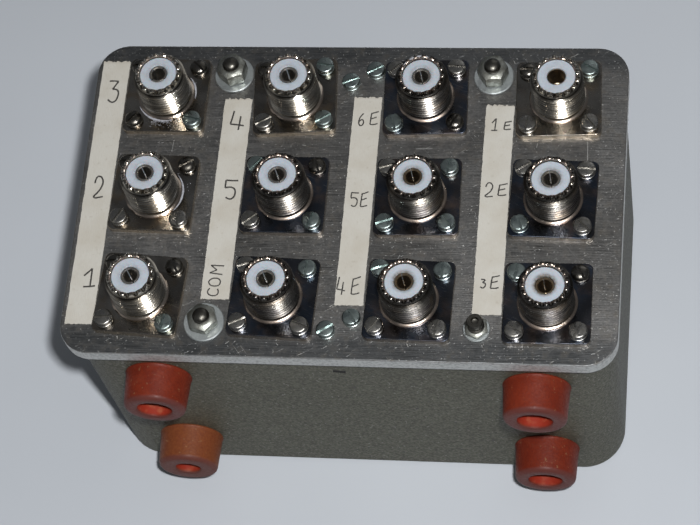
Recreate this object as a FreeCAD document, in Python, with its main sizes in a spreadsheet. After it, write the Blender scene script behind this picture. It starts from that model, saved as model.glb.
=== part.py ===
import FreeCAD, Part
import math
import os
import Sketcher
from FreeCAD import Placement, Rotation, Vector

# Coaxial antenna switch: a painted sheet metal box under a thick aluminium plate
# that carries twelve panel sockets. One rotary switch hangs under the plate and joins
# the common socket to one of the other eleven.
# Frame: origin at the middle of the box's floor, +Z out of the socket plate,
# the four rubber feet on the -Y wall, the knob on the +Y wall. Millimetres.

DIMENSIONS = [
    ("box_length", 162.0, "outside, along X"),
    ("box_width", 100.0, "outside, along Y"),
    ("box_height", 84.0, "floor to rim"),
    ("box_wall", 1.6, "sheet thickness"),
    ("box_corner", 13.0, "radius of the upright corners"),
    ("box_edge", 1.5, "bevel round the floor"),
    ("plate_length", 164.0, "along X"),
    ("plate_width", 104.0, "along Y"),
    ("plate_thick", 5.0, ""),
    ("plate_corner", 9.5, ""),
    ("plate_bevel", 0.5, "broken upper edge"),
    ("layout_shift", 1.5, "the sockets sit this far right of the plate's middle"),
    ("column_pitch", 40.0, "between columns of sockets"),
    ("row_pitch", 33.5, "between sockets in a column"),
    ("flange_side", 25.4, "one inch square"),
    ("flange_thick", 2.0, ""),
    ("flange_corner", 1.4, ""),
    ("barrel_radius", 7.94, "5/8 inch thread, over the crests"),
    ("barrel_height", 13.8, "above the flange"),
    ("insert_radius", 5.6, ""),
    ("insert_below", 6.5, "under the plate"),
    ("insert_sunk", 0.6, "below the barrel's rim"),
    ("contact_bore", 2.0, "radius of the centre contact's bore"),
    ("contact_depth", 10.0, ""),
    ("socket_hole", 6.5, "radius in the plate"),
    ("stud_across", 40.0, "cover stud, from the layout's middle"),
    ("stud_along", 41.5, ""),
    ("stud_radius", 2.5, "M5"),
    ("stud_hole", 2.8, ""),
    ("stud_stands", 6.9, "above the plate"),
    ("nut_flats", 8.0, ""),
    ("nut_height", 4.9, "with the washer under it"),
    ("ledge_length", 14.0, "welded ledge under each cover stud"),
    ("ledge_reach", 13.0, ""),
    ("ledge_drop", 12.0, ""),
    ("ledge_thick", 2.0, ""),
    ("foot_radius", 9.8, ""),
    ("foot_length", 11.5, ""),
    ("foot_recess", 5.2, "radius of the screw recess"),
    ("foot_recess_depth", 7.0, ""),
    ("foot_middle", 1.2, "X of the middle between the feet"),
    ("foot_spacing", 113.4, "along X"),
    ("foot_low", 18.5, "height of the lower pair"),
    ("foot_rise", 50.0, "lower pair to upper pair"),
    ("paper_width", 8.5, "label strips"),
    ("paper_thick", 0.2, ""),
    ("axis_height", 42.0, "spindle above the floor"),
    ("spindle_radius", 3.175, "quarter inch"),
    ("spindle_start", 31.5, "where the round part begins"),
    ("spindle_end", 63.0, ""),
    ("tongue_width", 5.2, "flat part of the spindle"),
    ("tongue_thick", 2.4, ""),
    ("tongue_back", 5.0, "behind the wafer's plane"),
    ("fit_gap", 0.05, "running clearance on the radius"),
    ("shaft_hole", 5.5, "radius in the wall"),
    ("web_face", 34.0, "inner face of both brackets, from the middle"),
    ("bracket_thick", 1.5, ""),
    ("bracket_width", 26.0, ""),
    ("bracket_foot", 12.0, ""),
    ("bracket_low", 18.0, "height of its lower end"),
    ("bush_radius", 4.75, "3/8 inch thread"),
    ("bush_end", 43.0, ""),
    ("bush_nut_flats", 14.0, ""),
    ("bush_nut_thick", 2.5, ""),
    ("index_side", 30.0, "index plate across"),
    ("index_height", 46.0, ""),
    ("index_cut", 8.0, "corners cut off"),
    ("index_thick", 1.5, ""),
    ("star_crest", 10.5, ""),
    ("star_valley", 9.5, ""),
    ("star_thick", 1.5, ""),
    ("detent_gap", 0.15, ""),
    ("leaf_thick", 0.6, ""),
    ("leaf_reach", 9.0, "from the axis to each end"),
    ("leaf_vee", 2.4, "half the width of its vee"),
    ("leaf_vee_depth", 1.6, ""),
    ("stop_radius", 15.5, "stop sector"),
    ("stop_neck", 5.0, "half the width round the spindle"),
    ("peg_radius", 14.0, "circle of the stop peg"),
    ("peg_side", 2.0, ""),
    ("wafer_flats", 47.0, "across the flats of the twelve-sided wafer"),
    ("wafer_hole", 9.8, ""),
    ("wafer_thick", 1.6, ""),
    ("hub_radius", 9.4, ""),
    ("hub_overlap", 0.3, "the rotor is this much thicker on each face"),
    ("blade_thick", 0.4, ""),
    ("blade_ring", 8.6, ""),
    ("blade_tip", 12.4, ""),
    ("blade_width", 4.0, ""),
    ("clip_width", 3.2, ""),
    ("clip_thick", 0.4, ""),
    ("clip_tip", 9.8, "inner end of a way's clip"),
    ("common_tip", 6.4, "inner end of the common clip"),
    ("clip_step", 13.0, "where a clip steps up from the wafer"),
    ("clip_tail", 28.5, ""),
    ("clip_gap", 0.15, "clip to blade"),
    ("pillar_flats", 4.5, ""),
    ("pillar_circle", 20.5, ""),
    ("strap_width", 2.2, ""),
    ("strap_thick", 0.5, ""),
    ("knob_flats", 31.0, "across the skirt"),
    ("knob_skirt", 4.0, ""),
    ("knob_clear", 1.0, "above the wall"),
    ("knob_height", 16.0, ""),
    ("knob_grip", 9.5, "grip across"),
    ("grip_nose", 14.0, "axis to the pointer's end"),
    ("grip_nose_half", 1.4, "half the width there"),
    ("grip_shoulder", 3.0, "where the pointer begins to taper"),
    ("grip_heel", 9.0, "where the tail begins to taper"),
    ("grip_tail", 13.2, ""),
    ("grip_tail_half", 2.6, ""),
    ("knob_bevel", 1.0, ""),
]

# Lettered sockets, column by column from the left and each from the -Y end:
# name, column, row, and how far the flange was turned when it was screwed down (degrees).
SOCKETS = [
    ("1", -1.5, -1, -3.3),
    ("2", -1.5, 0, -1.3),
    ("3", -1.5, 1, -0.2),
    ("COM", -0.5, -1, -2.1),
    ("5", -0.5, 0, 0.0),
    ("4", -0.5, 1, 3.7),
    ("4E", 0.5, -1, -1.2),
    ("5E", 0.5, 0, 1.0),
    ("6E", 0.5, 1, 2.0),
    ("3E", 1.5, -1, 0.6),
    ("2E", 1.5, 0, -1.3),
    ("1E", 1.5, 1, 2.1),
]

# Positions of the switch, clockwise seen from the knob, with the common in the twelfth.
WAYS = ["1E", "2E", "3E", "4E", "5E", "6E", "5", "4", "3", "2", "1"]
STEP = 30.0
PLACES = int(360 / STEP)
FIRST_WAY = 195.0
COMMON_PLACE = 165.0
STOP_PLAY = 0.5
KNOB_FACETS = 24

# Paper strips beside the columns: left edge, lower end and upper end.
STRIPS = [
    ("antenna_label_left", -80.5, -43.0, 46.5),
    ("antenna_label_right", -40.5, -34.0, 33.7),
    ("equipment_label_left", -0.5, -35.0, 34.5),
    ("equipment_label_right", 39.8, -37.0, 32.3),
]

doc = FreeCAD.newDocument("AntennaSwitch")
sheet = doc.addObject("Spreadsheet::Sheet", "Dimensions")


class Size:
    """A length, kept both as a number and as the sheet expression it comes from."""

    def __init__(self, number, text=None):
        self.number = float(number)
        self.text = text or f"({self.number:.9g})"

    def joined(self, other, sign, number):
        return Size(number, f"({self.text} {sign} {sized(other).text})")

    def __add__(self, other):
        return self.joined(other, "+", self.number + sized(other).number)

    def __sub__(self, other):
        return self.joined(other, "-", self.number - sized(other).number)

    def __mul__(self, other):
        return self.joined(other, "*", self.number * sized(other).number)

    def __truediv__(self, other):
        return self.joined(other, "/", self.number / sized(other).number)

    def __neg__(self):
        return self * -1


def sized(value):
    return value if isinstance(value, Size) else Size(value)


def write_sheet(rows):
    """Put every driving dimension in the sheet and return them by name."""
    sizes = {}
    for row, (alias, number, note) in enumerate(rows, start=1):
        sheet.set(f"A{row}", alias)
        sheet.set(f"B{row}", f"{number:g}")
        sheet.set(f"C{row}", note)
        sheet.setAlias(f"B{row}", alias)
        sizes[alias] = Size(number, f"Dimensions.{alias}")
    return sizes


strip_rows = []
for strip_name, edge, low, high in STRIPS:
    strip_rows.append((f"{strip_name}_edge", edge, "left edge"))
    strip_rows.append((f"{strip_name}_low", low, "lower end"))
    strip_rows.append((f"{strip_name}_high", high, "upper end"))
size = write_sheet(DIMENSIONS + strip_rows)
doc.recompute()

NODES = []


def node(thing, label):
    """A finished piece: its label is the name of its file."""
    thing.Label = label
    NODES.append(thing)
    return thing


def new_body(name):
    return doc.addObject("PartDesign::Body", name)


def bind(thing, prop, value):
    thing.setExpression(prop, sized(value).text)


def place(thing, across=0, along=0, up=0, turn=None):
    """Set a piece down at bound coordinates, turned by a fixed rotation."""
    spots = (sized(across), sized(along), sized(up))
    base = Vector(*(spot.number for spot in spots))
    thing.Placement = Placement(base, turn or Rotation())
    for axis, spot in zip("xyz", spots):
        bind(thing, f"Placement.Base.{axis}", spot)
    return thing


def sketch_on(body, role, height=0):
    """A sketch on one of the body's own origin planes, raised by a bound height."""
    sketch = body.newObject("Sketcher::SketchObject", body.Name + "_sketch")
    plane = next(one for one in body.Origin.OriginFeatures if one.Role == role)
    sketch.AttachmentSupport = [(plane, "")]
    sketch.MapMode = "FlatFace"
    bind(sketch, "AttachmentOffset.Base.z", height)
    return sketch


def tie(sketch, kind, element, vertex, value, label):
    """Fix one coordinate of a sketch point, on the axis itself when it is zero."""
    if abs(value.number) < 1e-9:
        axis = -2 if kind == "DistanceX" else -1
        sketch.addConstraint(Sketcher.Constraint("PointOnObject", element, vertex, axis))
        return
    rule = Sketcher.Constraint(kind, -1, 1, element, vertex, value.number)
    index = sketch.addConstraint(rule)
    sketch.renameConstraint(index, label)
    bind(sketch, f"Constraints.{label}", value)


def outline(sketch, points):
    """A closed outline of straight lines whose every corner is bound to the sheet."""
    corners = [(sized(across), sized(up)) for across, up in points]
    lines = []
    for here, there in zip(corners, corners[1:] + corners[:1]):
        start = Vector(here[0].number, here[1].number, 0)
        end = Vector(there[0].number, there[1].number, 0)
        lines.append(sketch.addGeometry(Part.LineSegment(start, end)))
    for line, following in zip(lines, lines[1:] + lines[:1]):
        sketch.addConstraint(Sketcher.Constraint("Coincident", line, 2, following, 1))
    for line, (across, up) in zip(lines, corners):
        tie(sketch, "DistanceX", line, 1, across, f"across{line}")
        tie(sketch, "DistanceY", line, 1, up, f"up{line}")
    return sketch


def ring(sketch, radius, across=0, up=0):
    """A circle with its radius and centre bound to the sheet."""
    radius, across, up = sized(radius), sized(across), sized(up)
    centre = Vector(across.number, up.number, 0)
    circle = sketch.addGeometry(Part.Circle(centre, Vector(0, 0, 1), radius.number))
    index = sketch.addConstraint(Sketcher.Constraint("Radius", circle, radius.number))
    sketch.renameConstraint(index, f"radius{circle}")
    bind(sketch, f"Constraints.radius{circle}", radius)
    tie(sketch, "DistanceX", circle, 3, across, f"across{circle}")
    tie(sketch, "DistanceY", circle, 3, up, f"up{circle}")
    return sketch


def block(width, height, across=0, up=0):
    """Corners of a rectangle about a centre."""
    half_width, half_height = sized(width) / 2, sized(height) / 2
    across, up = sized(across), sized(up)
    return [
        (across - half_width, up - half_height),
        (across + half_width, up - half_height),
        (across + half_width, up + half_height),
        (across - half_width, up + half_height),
    ]


def clipped(width, height, cut):
    """Corners of a rectangle about the origin with its four corners cut off."""
    x, y = sized(width) / 2, sized(height) / 2
    return [
        (-x + cut, -y), (x - cut, -y), (x, -y + cut), (x, y - cut),
        (x - cut, y), (-x + cut, y), (-x, y - cut), (-x, -y + cut),
    ]


def at_angle(degrees, radius, tangent=0.0):
    """A point given by its angle from local y, its radius and its distance to the side."""
    angle = math.radians(degrees)
    radius, tangent = sized(radius), sized(tangent)
    return (
        radius * math.sin(angle) + tangent * math.cos(angle),
        radius * math.cos(angle) - tangent * math.sin(angle),
    )


def polygon(sides, flats):
    """Corners of a regular polygon with a flat at the top, by its width across flats."""
    half = 180 / sides
    reach = sized(flats) / (2 * math.cos(math.radians(half)))
    return [at_angle(half + 2 * half * number, reach) for number in range(sides)]


def pad(body, sketch, length, **options):
    feature = body.newObject("PartDesign::Pad", body.Name + "_pad")
    feature.Profile = sketch
    bind(feature, "Length", length)
    for option, setting in options.items():
        setattr(feature, option, setting)
    return feature


def pocket(body, sketch, length=None, upwards=False):
    """Cut down from the sketch, or upwards; right through when no length is given."""
    feature = body.newObject("PartDesign::Pocket", body.Name + "_pocket")
    feature.Profile = sketch
    feature.Reversed = upwards
    if length is None:
        feature.Type = "ThroughAll"
        feature.Midplane = True
    else:
        bind(feature, "Length", length)
    return feature


def dress(body, kind, amount, chosen):
    """Fillet or chamfer the edges of the body's last feature that a test chooses."""
    doc.recompute()
    base = body.Tip
    names = []
    for number, edge in enumerate(base.Shape.Edges, start=1):
        if chosen(edge):
            names.append(f"Edge{number}")
    feature = body.newObject("PartDesign::" + kind, body.Name + "_" + kind.lower())
    feature.Base = (base, names)
    bind(feature, "Radius" if kind == "Fillet" else "Size", amount)
    return feature


def upright(edge):
    box = edge.BoundBox
    return box.ZLength > 0.1 and box.XLength + box.YLength < 1e-6


def flat_at(edge, height):
    box = edge.BoundBox
    return abs(box.ZMin - height) < 1e-6 and abs(box.ZMax - height) < 1e-6


plate_top = size["box_height"] + size["plate_thick"]


# Box: a drawn sheet metal tray with rounded corners, open at the rim.
box = new_body("box")
pad(box, outline(sketch_on(box, "XY_Plane"), block(size["box_length"], size["box_width"])),
    size["box_height"])
dress(box, "Fillet", size["box_corner"], upright)
dress(box, "Chamfer", size["box_edge"], lambda edge: flat_at(edge, 0.0))
doc.recompute()
rim = next(
    f"Face{number}"
    for number, face in enumerate(box.Tip.Shape.Faces, start=1)
    if abs(face.BoundBox.ZMin - size["box_height"].number) < 1e-6
)
walls = box.newObject("PartDesign::Thickness", "box_walls")
walls.Base = (box.Group[-2], [rim])
bind(walls, "Value", size["box_wall"])
walls.Reversed = True
walls.Join = 0
pocket(box, ring(sketch_on(box, "XZ_Plane"), size["shaft_hole"],
                 size["layout_shift"], size["axis_height"]), size["box_width"])
node(box, "box")


# Socket plate: thick aluminium, with a clearance hole under every socket
# and one for each of the four studs that hold it down.
def socket_spot(column, row):
    return size["column_pitch"] * column + size["layout_shift"], size["row_pitch"] * row


def stud_spots():
    for side in (-1, 1):
        for end in (-1, 1):
            yield size["stud_across"] * side + size["layout_shift"], size["stud_along"] * end, end


plate = new_body("socket_plate")
plate_face = outline(sketch_on(plate, "XY_Plane", size["box_height"]),
                     block(size["plate_length"], size["plate_width"]))
pad(plate, plate_face, size["plate_thick"])
dress(plate, "Fillet", size["plate_corner"], upright)
dress(plate, "Chamfer", size["plate_bevel"], lambda edge: flat_at(edge, plate_top.number))
holes = sketch_on(plate, "XY_Plane", plate_top)
for _, column, row, _ in SOCKETS:
    ring(holes, size["socket_hole"], *socket_spot(column, row))
for across, along, _ in stud_spots():
    ring(holes, size["stud_hole"], across, along)
pocket(plate, holes)
node(plate, "socket_plate")


def copies(master, spots, label):
    """Linked copies of one modelled piece, gathered as a group of separate solids."""
    links = []
    for number, (across, along, up, turn) in enumerate(spots, start=1):
        link = doc.addObject("App::Link", f"{label}_{number}")
        link.LinkedObject = master
        links.append(place(link, across, along, up, turn))
    group = doc.addObject("Part::Compound", label)
    group.Links = links
    return node(group, label)


def about_z(degrees):
    return Rotation(Vector(0, 0, 1), degrees)


# Panel sockets: a square flange with a round threaded barrel, and in its bore a white
# insulator that holds the centre contact. Both are drawn from the plate's top face.
barrel_top = size["flange_thick"] + size["barrel_height"]
insert_top = barrel_top - size["insert_sunk"]
insert_low = size["plate_thick"] + size["insert_below"]

shell = new_body("socket_shell")
side = size["flange_side"]
pad(shell, outline(sketch_on(shell, "XY_Plane"), clipped(side, side, size["flange_corner"])),
    size["flange_thick"])
pad(shell, ring(sketch_on(shell, "XY_Plane"), size["barrel_radius"]), barrel_top)
pocket(shell, ring(sketch_on(shell, "XY_Plane"), size["insert_radius"]))

insert = new_body("socket_insert")
pad(insert, ring(sketch_on(insert, "XY_Plane", -insert_low), size["insert_radius"]),
    insert_low + insert_top)
pocket(insert, ring(sketch_on(insert, "XY_Plane", insert_top), size["contact_bore"]),
       size["contact_depth"])

socket_places = []
for _, column, row, turned in SOCKETS:
    across, along = socket_spot(column, row)
    socket_places.append((across, along, plate_top, about_z(turned)))
copies(shell, socket_places, "socket_shells")
copies(insert, socket_places, "socket_inserts")

# Cover fixings: a ledge welded inside the long wall carries a stud, and the nut on it
# pulls the plate down on the box's rim. Drawn from the plate's underside.
wall_inside = size["box_width"] / 2 - size["box_wall"] - size["stud_along"]
ledge = new_body("cover_ledge")
thick = size["ledge_thick"]
ledge_profile = [
    (wall_inside - size["ledge_reach"], -thick),
    (wall_inside - thick, -thick),
    (wall_inside - thick, -size["ledge_drop"]),
    (wall_inside, -size["ledge_drop"]),
    (wall_inside, 0),
    (wall_inside - size["ledge_reach"], 0),
]
pad(ledge, outline(sketch_on(ledge, "YZ_Plane"), ledge_profile), size["ledge_length"], Midplane=True)
pad(ledge, ring(sketch_on(ledge, "XY_Plane", -thick), size["stud_radius"]),
    thick + size["plate_thick"] + size["stud_stands"])

cover_nut = new_body("cover_nut")
nut_face = ring(outline(sketch_on(cover_nut, "XY_Plane"), polygon(6, size["nut_flats"])),
                size["stud_radius"])
pad(cover_nut, nut_face, size["nut_height"])

ledges = []
on_plate = []
for across, along, end in stud_spots():
    turn = about_z(0 if end > 0 else 180)
    ledges.append((across, along, size["box_height"], turn))
    on_plate.append((across, along, plate_top, turn))
copies(ledge, ledges, "cover_ledges")
copies(cover_nut, on_plate, "cover_nuts")

# Feet: short round rubber buffers on the -Y wall, with a recess for the screw.
foot = new_body("foot")
foot_end = size["foot_length"]
pad(foot, ring(sketch_on(foot, "XY_Plane"), size["foot_radius"]), foot_end)
pocket(foot, ring(sketch_on(foot, "XY_Plane", foot_end), size["foot_recess"]),
       size["foot_recess_depth"])
outwards = Rotation(Vector(1, 0, 0), 90)
foot_places = []
for lift in (0, size["foot_rise"]):
    for sign in (-1, 1):
        across = size["foot_middle"] + size["foot_spacing"] * (sign / 2)
        foot_places.append((across, -size["box_width"] / 2, size["foot_low"] + lift, outwards))
copies(foot, foot_places, "feet")

# Label strips: narrow paper strips stuck to the plate beside the sockets.
for strip_name, *_ in STRIPS:
    strip = new_body(strip_name)
    left = size[f"{strip_name}_edge"]
    low, high = size[f"{strip_name}_low"], size[f"{strip_name}_high"]
    right = left + size["paper_width"]
    pad(strip, outline(sketch_on(strip, "XY_Plane", plate_top),
                       [(left, low), (right, low), (right, high), (left, high)]),
        size["paper_thick"])
    node(strip, strip_name)

# Switch brackets: two bent angles under the plate, which hold the switch between them.
face, web = size["web_face"], size["bracket_thick"]
for name, sign in (("front_bracket", 1), ("rear_bracket", -1)):
    bracket = new_body(name)
    profile = [
        (face * sign, size["bracket_low"]),
        ((face + web) * sign, size["bracket_low"]),
        ((face + web) * sign, size["box_height"] - web),
        ((face + size["bracket_foot"]) * sign, size["box_height"] - web),
        ((face + size["bracket_foot"]) * sign, size["box_height"]),
        (face * sign, size["box_height"]),
    ]
    pad(bracket, outline(sketch_on(bracket, "YZ_Plane"), profile), size["bracket_width"],
        Midplane=True)
    if sign > 0:
        through = ring(sketch_on(bracket, "XZ_Plane"), size["bush_radius"], 0, size["axis_height"])
        pocket(bracket, through, size["box_width"])
    place(bracket, size["layout_shift"])
    node(bracket, name)

# Everything on the switch is drawn as the user sees it from the knob's side: local x to
# the user's right, y up and z out of the box, so local z is the frame's Y.
FACING = Rotation(Vector(-1, 0, 0), Vector(0, 0, 1), Vector(0, 1, 0), "XYZ")


def switch_spot(clockwise=0.0):
    return size["layout_shift"], 0, size["axis_height"], FACING * about_z(-clockwise)


def spindle_slot(body, height, loose=0):
    """Cut the rectangular hole that the flat part of the spindle fits."""
    corners = block(size["tongue_thick"] + loose, size["tongue_width"] + loose)
    pocket(body, outline(sketch_on(body, "XY_Plane", height), corners))


index_back = face - size["index_thick"]

# Index plate: lies behind the front bracket, with the threaded bush spun into it
# and a peg at the back that stops the switch at both ends of its travel.
index = new_body("index_plate")
pad(index, outline(sketch_on(index, "XY_Plane", index_back),
                   clipped(size["index_side"], size["index_height"], size["index_cut"])),
    size["index_thick"])
pad(index, ring(sketch_on(index, "XY_Plane", index_back), size["bush_radius"]),
    size["bush_end"] - index_back)
star_front = size["spindle_start"]
star_back = star_front - size["star_thick"]
stop_back = star_back - size["star_thick"]
half_peg = size["peg_side"] / 2
peg_corners = [
    at_angle(COMMON_PLACE, size["peg_radius"] + out, half_peg * way)
    for out, way in ((-half_peg, -1), (-half_peg, 1), (half_peg, 1), (half_peg, -1))
]
pad(index, outline(sketch_on(index, "XY_Plane", stop_back), peg_corners), index_back - stop_back)
pocket(index, ring(sketch_on(index, "XY_Plane", index_back), size["spindle_radius"] + size["fit_gap"]))
node(place(index, *switch_spot()), "index_plate")

# Bush nut: clamps the index plate to the front bracket.
bush_nut = new_body("bush_nut")
pad(bush_nut, ring(outline(sketch_on(bush_nut, "XY_Plane", face + web),
                           polygon(6, size["bush_nut_flats"])), size["bush_radius"]),
    size["bush_nut_thick"])
node(place(bush_nut, *switch_spot()), "bush_nut")

# Detent leaf: a bent spring over the star wheel, held to the back of the index plate.
leaf = new_body("detent_leaf")
rise = size["star_crest"] + size["detent_gap"]
lift = rise + size["leaf_vee_depth"]
reach, vee = size["leaf_reach"], size["leaf_vee"]
leaf_profile = [
    (-reach, lift), (-vee, lift), (0, rise), (vee, lift), (reach, lift),
    (reach, lift + size["leaf_thick"]), (-reach, lift + size["leaf_thick"]),
]
pad(leaf, outline(sketch_on(leaf, "XY_Plane", star_back), leaf_profile), index_back - star_back)
node(place(leaf, *switch_spot()), "detent_leaf")

# Pillars: hexagonal rods from the index plate to the wafer and from there to the rear bracket.
pillars = []
for span, (start, length) in {
    "front": (size["wafer_thick"], index_back - size["wafer_thick"]),
    "rear": (-face, face),
}.items():
    rod = new_body(f"pillar_{span}")
    pad(rod, outline(sketch_on(rod, "XY_Plane", start), polygon(6, size["pillar_flats"])), length)
    for half_turn in (1, -1):
        link = doc.addObject("App::Link", f"pillar_{span}_{'upper' if half_turn > 0 else 'lower'}")
        link.LinkedObject = rod
        up = size["axis_height"] + size["pillar_circle"] * half_turn
        pillars.append(place(link, size["layout_shift"], 0, up, FACING))
group = doc.addObject("Part::Compound", "pillars")
group.Links = pillars
node(group, "pillars")

# Wafer: a twelve-sided insulating plate that carries the fixed contacts.
wafer = new_body("wafer")
wafer_outline = polygon(PLACES, size["wafer_flats"])
pad(wafer, ring(outline(sketch_on(wafer, "XY_Plane"), wafer_outline), size["wafer_hole"]),
    size["wafer_thick"])
node(place(wafer, *switch_spot()), "wafer")

# Contact clips: each steps up from the wafer's back and reaches over the rotor blade.
blade_back = -(size["hub_overlap"] + size["blade_thick"])
leaf_front = blade_back - size["clip_gap"]
clip = size["clip_thick"]


def contact_clip(name, tip):
    body = new_body(name)
    profile = [
        (tip, leaf_front - clip),
        (size["clip_step"] + clip, leaf_front - clip),
        (size["clip_step"] + clip, -clip),
        (size["clip_tail"], -clip),
        (size["clip_tail"], 0),
        (size["clip_step"], 0),
        (size["clip_step"], leaf_front),
        (tip, leaf_front),
    ]
    pad(body, outline(sketch_on(body, "YZ_Plane"), profile), size["clip_width"], Midplane=True)
    return body


way_places = [switch_spot(FIRST_WAY + STEP * number) for number in range(len(WAYS))]
copies(contact_clip("way_clip", size["clip_tip"]), way_places, "way_clips")
common = contact_clip("common_clip", size["common_tip"])
node(place(common, *switch_spot(COMMON_PLACE)), "common_clip")

# Straps: a flat copper strap runs straight from each socket's contact to its clip's tail.
def strap(start, end):
    run = end - start
    width, thickness = size["strap_width"].number, size["strap_thick"].number
    bar = Part.makeBox(width, thickness, run.Length, Vector(-width / 2, -thickness / 2, 0))
    bar.Placement = Placement(start, Rotation(Vector(0, 0, 1), run))
    return bar


straps = []
for name, column, row, _ in SOCKETS:
    across, along = socket_spot(column, row)
    start = Vector(across.number, along.number, (plate_top - insert_low).number)
    place_angle = COMMON_PLACE if name == "COM" else FIRST_WAY + STEP * WAYS.index(name)
    local_x, local_y = at_angle(place_angle, size["clip_tail"] - size["strap_width"] / 2)
    end = Vector(
        (size["layout_shift"] - local_x).number,
        -size["clip_thick"].number / 2,
        (size["axis_height"] + local_y).number,
    )
    straps.append(strap(start, end))
wiring = doc.addObject("Part::Feature", "socket_straps")
wiring.Shape = Part.makeCompound(straps)
node(wiring, "socket_straps")

# What turns: knob, spindle, star wheel, stop sector, rotor hub and its contact blade.
# All point at the first way at rest, and turn clockwise to the last.
TURNED = switch_spot(FIRST_WAY)

spindle = new_body("spindle")
pad(spindle, ring(sketch_on(spindle, "XY_Plane", size["spindle_start"]), size["spindle_radius"]),
    size["spindle_end"] - size["spindle_start"])
pad(spindle, outline(sketch_on(spindle, "XY_Plane", -size["tongue_back"]),
                     block(size["tongue_thick"], size["tongue_width"])),
    size["spindle_start"] + size["tongue_back"])
node(place(spindle, *TURNED), "spindle")

# Star wheel: twelve crests, one for each click.
star = new_body("star_wheel")
teeth = []
for half_step in range(2 * PLACES):
    radius = size["star_crest"] if half_step % 2 else size["star_valley"]
    teeth.append(at_angle(half_step * STEP / 2 - FIRST_WAY, radius))
pad(star, outline(sketch_on(star, "XY_Plane", star_back), teeth), size["star_thick"])
spindle_slot(star, star_back)
node(place(star, *TURNED), "star_wheel")

# Stop sector: meets the peg at the first and at the last way.
peg_half_angle = math.degrees(math.asin(size["peg_side"].number / 2 / size["peg_radius"].number))
spread = STEP - peg_half_angle - STOP_PLAY
neck = size["stop_neck"]
neck_top = neck / math.tan(math.radians(spread))
stop = new_body("stop_sector")
stop_profile = [
    at_angle(-spread, size["stop_radius"]),
    at_angle(0, size["stop_radius"]),
    at_angle(spread, size["stop_radius"]),
    (neck, neck_top),
    (neck, -neck),
    (-neck, -neck),
    (-neck, neck_top),
]
pad(stop, outline(sketch_on(stop, "XY_Plane", stop_back), stop_profile), size["star_thick"])
spindle_slot(stop, stop_back)
node(place(stop, *TURNED), "stop_sector")

# Rotor: an insulating hub in the wafer's hole, with a silvered blade on its back face.
hub = new_body("rotor_hub")
overlap = size["hub_overlap"]
pad(hub, ring(sketch_on(hub, "XY_Plane", -overlap), size["hub_radius"]),
    size["wafer_thick"] + overlap * 2)
spindle_slot(hub, 0)
node(place(hub, *TURNED), "rotor_hub")

blade = new_body("rotor_blade")
pad(blade, ring(sketch_on(blade, "XY_Plane", blade_back), size["blade_ring"]), size["blade_thick"])
pad(blade, outline(sketch_on(blade, "XY_Plane", blade_back),
                   block(size["blade_width"], size["blade_tip"], 0, size["blade_tip"] / 2)),
    size["blade_thick"])
spindle_slot(blade, blade_back)
node(place(blade, *TURNED), "rotor_blade")

# Knob: a faceted skirt under a bar grip that tapers to a pointer.
knob = new_body("knob")
knob_foot = size["box_width"] / 2 + size["knob_clear"]
pad(knob, outline(sketch_on(knob, "XY_Plane", knob_foot), polygon(KNOB_FACETS, size["knob_flats"])),
    size["knob_skirt"])
half_grip = size["knob_grip"] / 2
right_side = [
    (size["grip_tail_half"], -size["grip_tail"]), (half_grip, -size["grip_heel"]),
    (half_grip, size["grip_shoulder"]), (size["grip_nose_half"], size["grip_nose"]),
]
grip = right_side + [(-across, up) for across, up in reversed(right_side)]
pad(knob, outline(sketch_on(knob, "XY_Plane", knob_foot), grip), size["knob_height"])
dress(knob, "Chamfer", size["knob_bevel"],
      lambda edge: flat_at(edge, (knob_foot + size["knob_height"]).number))
pocket(knob, ring(sketch_on(knob, "XY_Plane", knob_foot), size["spindle_radius"]),
       size["spindle_end"] - knob_foot, upwards=True)
node(place(knob, *TURNED), "knob")


doc.recompute()
for thing in doc.Objects:
    if {"Invalid", "Error"} & set(thing.State):
        raise RuntimeError(f"{thing.Name} did not build: {thing.State}")
os.makedirs("parts", exist_ok=True)
for thing in NODES:
    shape = Part.getShape(thing)
    if shape.isNull() or not shape.isValid():
        raise RuntimeError(f"{thing.Label} has no valid shape")
    shape.exportStep(f"parts/{thing.Label}.step")
    solids = [f"{solid.Volume:.0f}" for solid in shape.Solids]
    print(thing.Label, len(solids), "solids", solids[0], "mm3")
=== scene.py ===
import math
import random

import bmesh
import bpy
from mathutils import Matrix, Vector


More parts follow.
